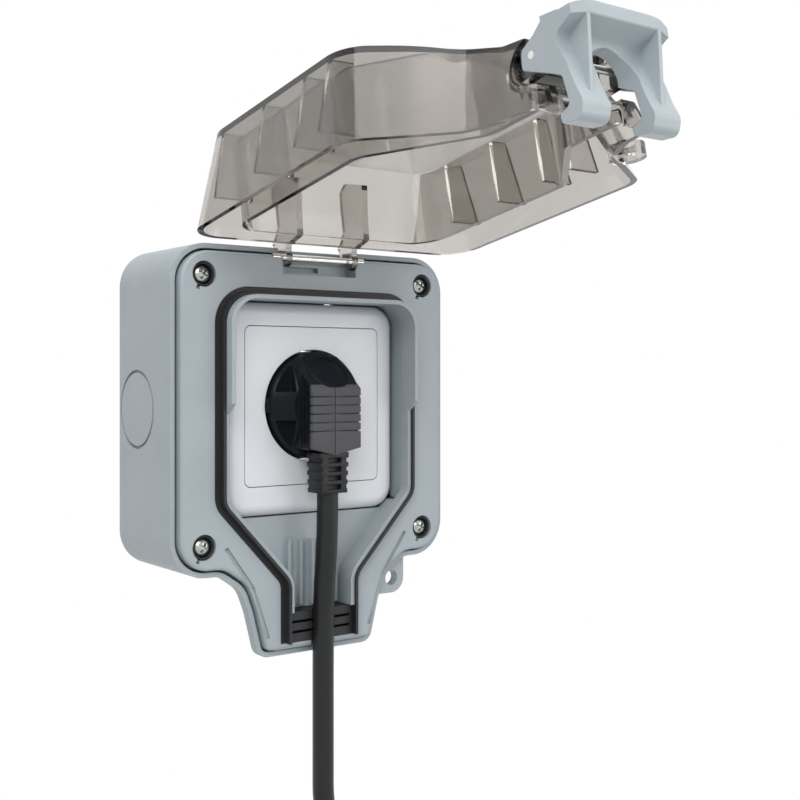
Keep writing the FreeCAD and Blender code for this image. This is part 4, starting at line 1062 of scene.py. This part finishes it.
@dataclass
class OpeningSkirt:
    """The inside wall of the cover's opening, which runs on behind the edge of the white plate."""

    half: float = 36.95
    top: float = 37.25
    corner: float = 8.5
    bottom: float = -34.0
    thickness: float = 1.3
    back: float = 33.5
    front: float = 42.0

    def _outline(self, name: str, grow: float, reach: float) -> bpy.types.Object:
        """Makes a block with the opening's rounded top corners.

        Args:
            name: the block's name.
            grow: how far it stands outside the opening.
            reach: how far it goes beyond the skirt's front and back.

        Returns:
            The block.
        """
        low = (-self.half - grow, -self.front - reach, self.bottom - reach)
        block = add_block(name, low, (self.half + grow, -self.back + reach, self.top + grow))
        select_edges(block, lambda one, other: abs(one.y - other.y) > MM and min(one.z, other.z) > 0.0)
        bpy.ops.mesh.bevel(offset=(self.corner + grow) * MM, segments=16, affect="EDGES")
        bpy.ops.object.mode_set(mode="OBJECT")
        return block

    def build(self, finish: bpy.types.Material) -> bpy.types.Object:
        """Models the skirt.

        Args:
            finish: the cover's plastic.

        Returns:
            The skirt.
        """
        skirt = self._outline("opening_skirt", self.thickness, 0.0)
        carve(skirt, [self._outline("inside", 0.0, 5.0)])
        soften(skirt, 0.15, 1)
        return fit(skirt, finish, "base", "housing")


@dataclass
class CoverScrews:
    """The four cover screws: domed heads with cross recesses, each inside a dark rubber sleeve that paints
    the shade of its recess.
    """

    at_x: float = 45.0
    at_z: float = 45.0
    seat: float = 38.3
    crown: float = 42.4
    head: float = 3.25
    shank: float = 1.45
    foot: float = 20.3
    collar: float = 2.4
    recess_half_length: float = 1.75
    recess_half_width: float = 0.42
    recess_depth: float = 1.5
    recess_turn: float = 0.5
    # painted shade: a thin dark rubber sleeve in each screw recess stands for the recess's shade
    shade_sleeve_outer: float = 3.98
    shade_sleeve_inner: float = 3.42
    shade_sleeve_back: float = 35.6
    shade_sleeve_front: float = 42.2

    def _places(self) -> list[tuple[float, float]]:
        """Lists the middles of the screws.

        Returns:
            Each screw's X and Z.
        """
        return [(x, z) for x in (-self.at_x, self.at_x) for z in (-self.at_z, self.at_z)]

    def _screw(self, x: float, z: float) -> bpy.types.Object:
        """Models one screw.

        Args:
            x: its middle across.
            z: its middle up.

        Returns:
            The screw.
        """
        middle = (x, -(self.seat + self.collar / 2), z)
        head = add_rod("cover_screw", middle, self.head, self.collar, "Y", 48)
        rise = (self.crown - self.seat - self.collar) / 4
        draw_out(head, (0.0, -1.0, 0.0), [(rise, scale) for scale in (0.93, 0.86, 0.74, 0.55)], (x, 0.0, z))
        middle = (x, -(self.foot + self.seat) / 2, z)
        shank = add_rod("shank", middle, self.shank, self.seat - self.foot + 0.2, "Y", 24)
        carve(head, [shank], "UNION")
        long, wide = self.recess_half_length, self.recess_half_width
        for turn in (0.0, math.pi / 2):
            blade = add_block("recess", (-long, -self.crown - 1.0, -wide),
                              (long, -self.crown + self.recess_depth, wide))
            blade.rotation_euler = (0.0, turn + self.recess_turn, 0.0)
            blade.location = (x * MM, 0.0, z * MM)
            carve(head, [settle(blade)])
        return head

    def build(self, metal: bpy.types.Material, rubber: bpy.types.Material) -> None:
        """Models the screws and the dark sleeves that paint the shade of their recesses.

        Args:
            metal: the screws' finish.
            rubber: the painted-shade sleeves' finish.
        """
        screws = weld([self._screw(x, z) for x, z in self._places()])
        soften(screws, 0.12, 2)
        fit(screws, metal, "base", "zinc", "cover_screws")
        # Painted shade: each recess gets a thin dark rubber sleeve round the head, standing for the shade
        # inside it.
        shade_sleeves = []
        length = self.shade_sleeve_front - self.shade_sleeve_back
        for x, z in self._places():
            middle = (x, -(self.shade_sleeve_back + self.shade_sleeve_front) / 2, z)
            shade_sleeve = add_rod("screw_recess_painted_shade", middle, self.shade_sleeve_outer, length, "Y", 48)
            carve(shade_sleeve, [add_rod("inside", middle, self.shade_sleeve_inner, length + 4.0, "Y", 48)])
            shade_sleeves.append(shade_sleeve)
        shade_sleeves_piece = weld(shade_sleeves)
        soften(shade_sleeves_piece, 0.15, 2)
        fit(shade_sleeves_piece, rubber, "base", "rubber")


@dataclass
class StoredEnd:
    """What is on the cord beyond the photograph's view: the coil's strap and the far connector."""

    coil_centre: Point = (0.0, -45.9, -207.5)
    coil_radius: float = 41.0
    strap_inner: float = 11.7
    strap_outer: float = 12.9
    strap_width: float = 8.4
    connector_at: Point = (-37.0, -66.3, -231.5)
    connector_radius: float = 8.9
    shell_steps: tuple[tuple[float, float], ...] = (
        (0.8, 0.86), (2.0, 1.0), (9.0, 1.0), (2.0, 1.12), (2.6, 1.0), (4.0, 0.72), (8.6, 0.8))
    flute_count: int = 10

    def build_strap(self, finish: bpy.types.Material) -> bpy.types.Object:
        """Models the strap that ties the coil.

        Args:
            finish: its plastic.

        Returns:
            The strap.
        """
        x, y, z = self.coil_centre
        middle = (x, y, z - self.coil_radius)
        strap = add_rod("coil_strap", middle, self.strap_outer, self.strap_width, "X", 72)
        carve(strap, [add_rod("inside", middle, self.strap_inner, 30.0, "X", 72)])
        buckle = add_block("buckle", (x - 3.6, y - self.strap_outer - 0.05, middle[2] - 3.4),
                           (x + 3.6, y - self.strap_inner + 0.2, middle[2] + 3.4))
        carve(strap, [buckle], "UNION")
        for index in range(-2, 3):
            notch = add_block("notch", (x - 3.0, y - self.strap_outer - 1.0, middle[2] + index * 1.2 - 0.2),
                              (x + 3.0, y - self.strap_outer + 0.25, middle[2] + index * 1.2 + 0.2))
            carve(strap, [notch])
        soften(strap, 0.25, 2)
        return fit(strap, finish, "base", "black_plastic", "coil_tie")

    def build_connector(self, finish: bpy.types.Material) -> bpy.types.Object:
        """Models the round connector on the cord's far end.

        Args:
            finish: its plastic.

        Returns:
            The connector.
        """
        x, y, z = self.connector_at
        radius = self.connector_radius
        shell = add_rod("far_connector", (x, y, z + 9.0), radius, 18.0, "Z", 72)
        draw_out(shell, (0.0, 0.0, 1.0), list(self.shell_steps), (x, y, z))
        carve(shell, [add_rod("mouth", (x, y, z), radius * 0.72, 12.0, "Z", 48)])
        for index in range(self.flute_count):
            angle = math.tau * index / self.flute_count
            across, along = (radius + 0.7) * math.cos(angle), (radius + 0.7) * math.sin(angle)
            carve(shell, [add_rod("flute", (x + across, y + along, z + 9.5), 1.3, 12.0, "Z", 16)])
        activate(shell)
        bpy.ops.transform.rotate(value=math.pi, orient_axis="X",
                                 center_override=(x * MM, y * MM, (z + 24.0) * MM))
        settle(shell)
        soften(shell, 0.3, 2)
        return fit(shell, finish, "base", "black_plastic", "lead_connector")


def main() -> None:
    """Builds the scene in order."""
    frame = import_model()
    nodes = frame["nodes"]
    groups = ShaderGroups()
    studio = Studio()
    studio.build_camera()
    studio.build_light()
    studio.build_floor()
    housing = Moulding("housing_plastic", (0.375, 0.425, 0.455), 0.42, Grain.SATIN).build(groups)
    white = Moulding("white_face_plastic", (0.74, 0.76, 0.80), 0.3, Grain.POLISHED, 0.01).build(groups)
    rubber = Moulding("seal_rubber", (0.012, 0.013, 0.015), 0.55, Grain.RUBBER).build(groups)
    # Painted sheen: the cover seal is black rubber, coloured grey here for the sheen that it shows.
    sheen_grey_seal = Moulding("seal_rubber_painted_sheen", (0.20, 0.235, 0.245), 0.5, Grain.RUBBER).build(groups)
    black = Moulding("black_plastic", (0.014, 0.015, 0.018), 0.38, Grain.SATIN, specular=0.3).build(groups)
    # The plug's grip front is painted paler for the light that it catches.
    glossy = LitFacePlastic(
        "plug_plastic", (0.009, 0.0115, 0.015), 0.2, Grain.POLISHED, specular=0.09).build(groups)
    screw = Metal("screw_steel", (0.42, 0.44, 0.42), 0.25).build(groups)
    sheath = Moulding("lead_rubber", (0.011, 0.012, 0.013), 0.4, Grain.RUBBER, specular=0.32).build(groups)
    latch = Moulding("latch_plastic", (0.43, 0.485, 0.515), 0.36, Grain.SATIN).build(groups)
    zinc = Metal("screw_zinc", (0.78, 0.78, 0.76), 0.28).build(groups)
    chrome = Metal("contact_chrome", (0.82, 0.82, 0.83), 0.12).build(groups)
    brass = Metal("contact_brass", (0.72, 0.56, 0.28), 0.3).build(groups)
    smoked = SmokedClear(
        "lid_smoked_clear", (0.61, 0.59, 0.565), (0.56, 0.52, 0.48), 0.07, 75.0).build(groups)
    wear = {
        "back_box": housing, "front_cover": housing, "cover_seal": sheen_grey_seal, "opening_seal": rubber,
        "cable_comb": rubber, "cover_screws": zinc, "yoke_screws": zinc, "socket_plate": white,
        "socket_insert": white, "mounting_yoke": zinc, "socket_base": white, "line_contact": brass,
        "neutral_contact": brass, "earth_contacts": chrome, "plug_body": black, "plug_pins": chrome,
        "plug_earth_strips": chrome, "plug_strain_relief": sheath, "coil_tie": black,
        "lead_connector": black, "lid": smoked, "lid_comb": rubber, "hinge_pin": zinc,
        "latch": latch, "latch_pin": zinc,
    }
    for name, finish in wear.items():
        node = nodes[name]
        node.data.materials.clear()
        node.data.materials.append(finish)
    OpeningSkirt().build(housing)
    CoverScrews().build(screw, rubber)
    plug = Plug()
    plug.build_body(glossy)
    plug.build_boot(sheath)
    stored = StoredEnd()
    strap = stored.build_strap(black)
    connector = stored.build_connector(black)
    Lead().build(sheath, [connector, strap])
    scene = bpy.context.scene
    scene.view_settings.view_transform = "Standard"
    scene.cycles.transparent_max_bounces = 32


if __name__ == "__main__":
    logging.basicConfig(level=logging.INFO)
    main()
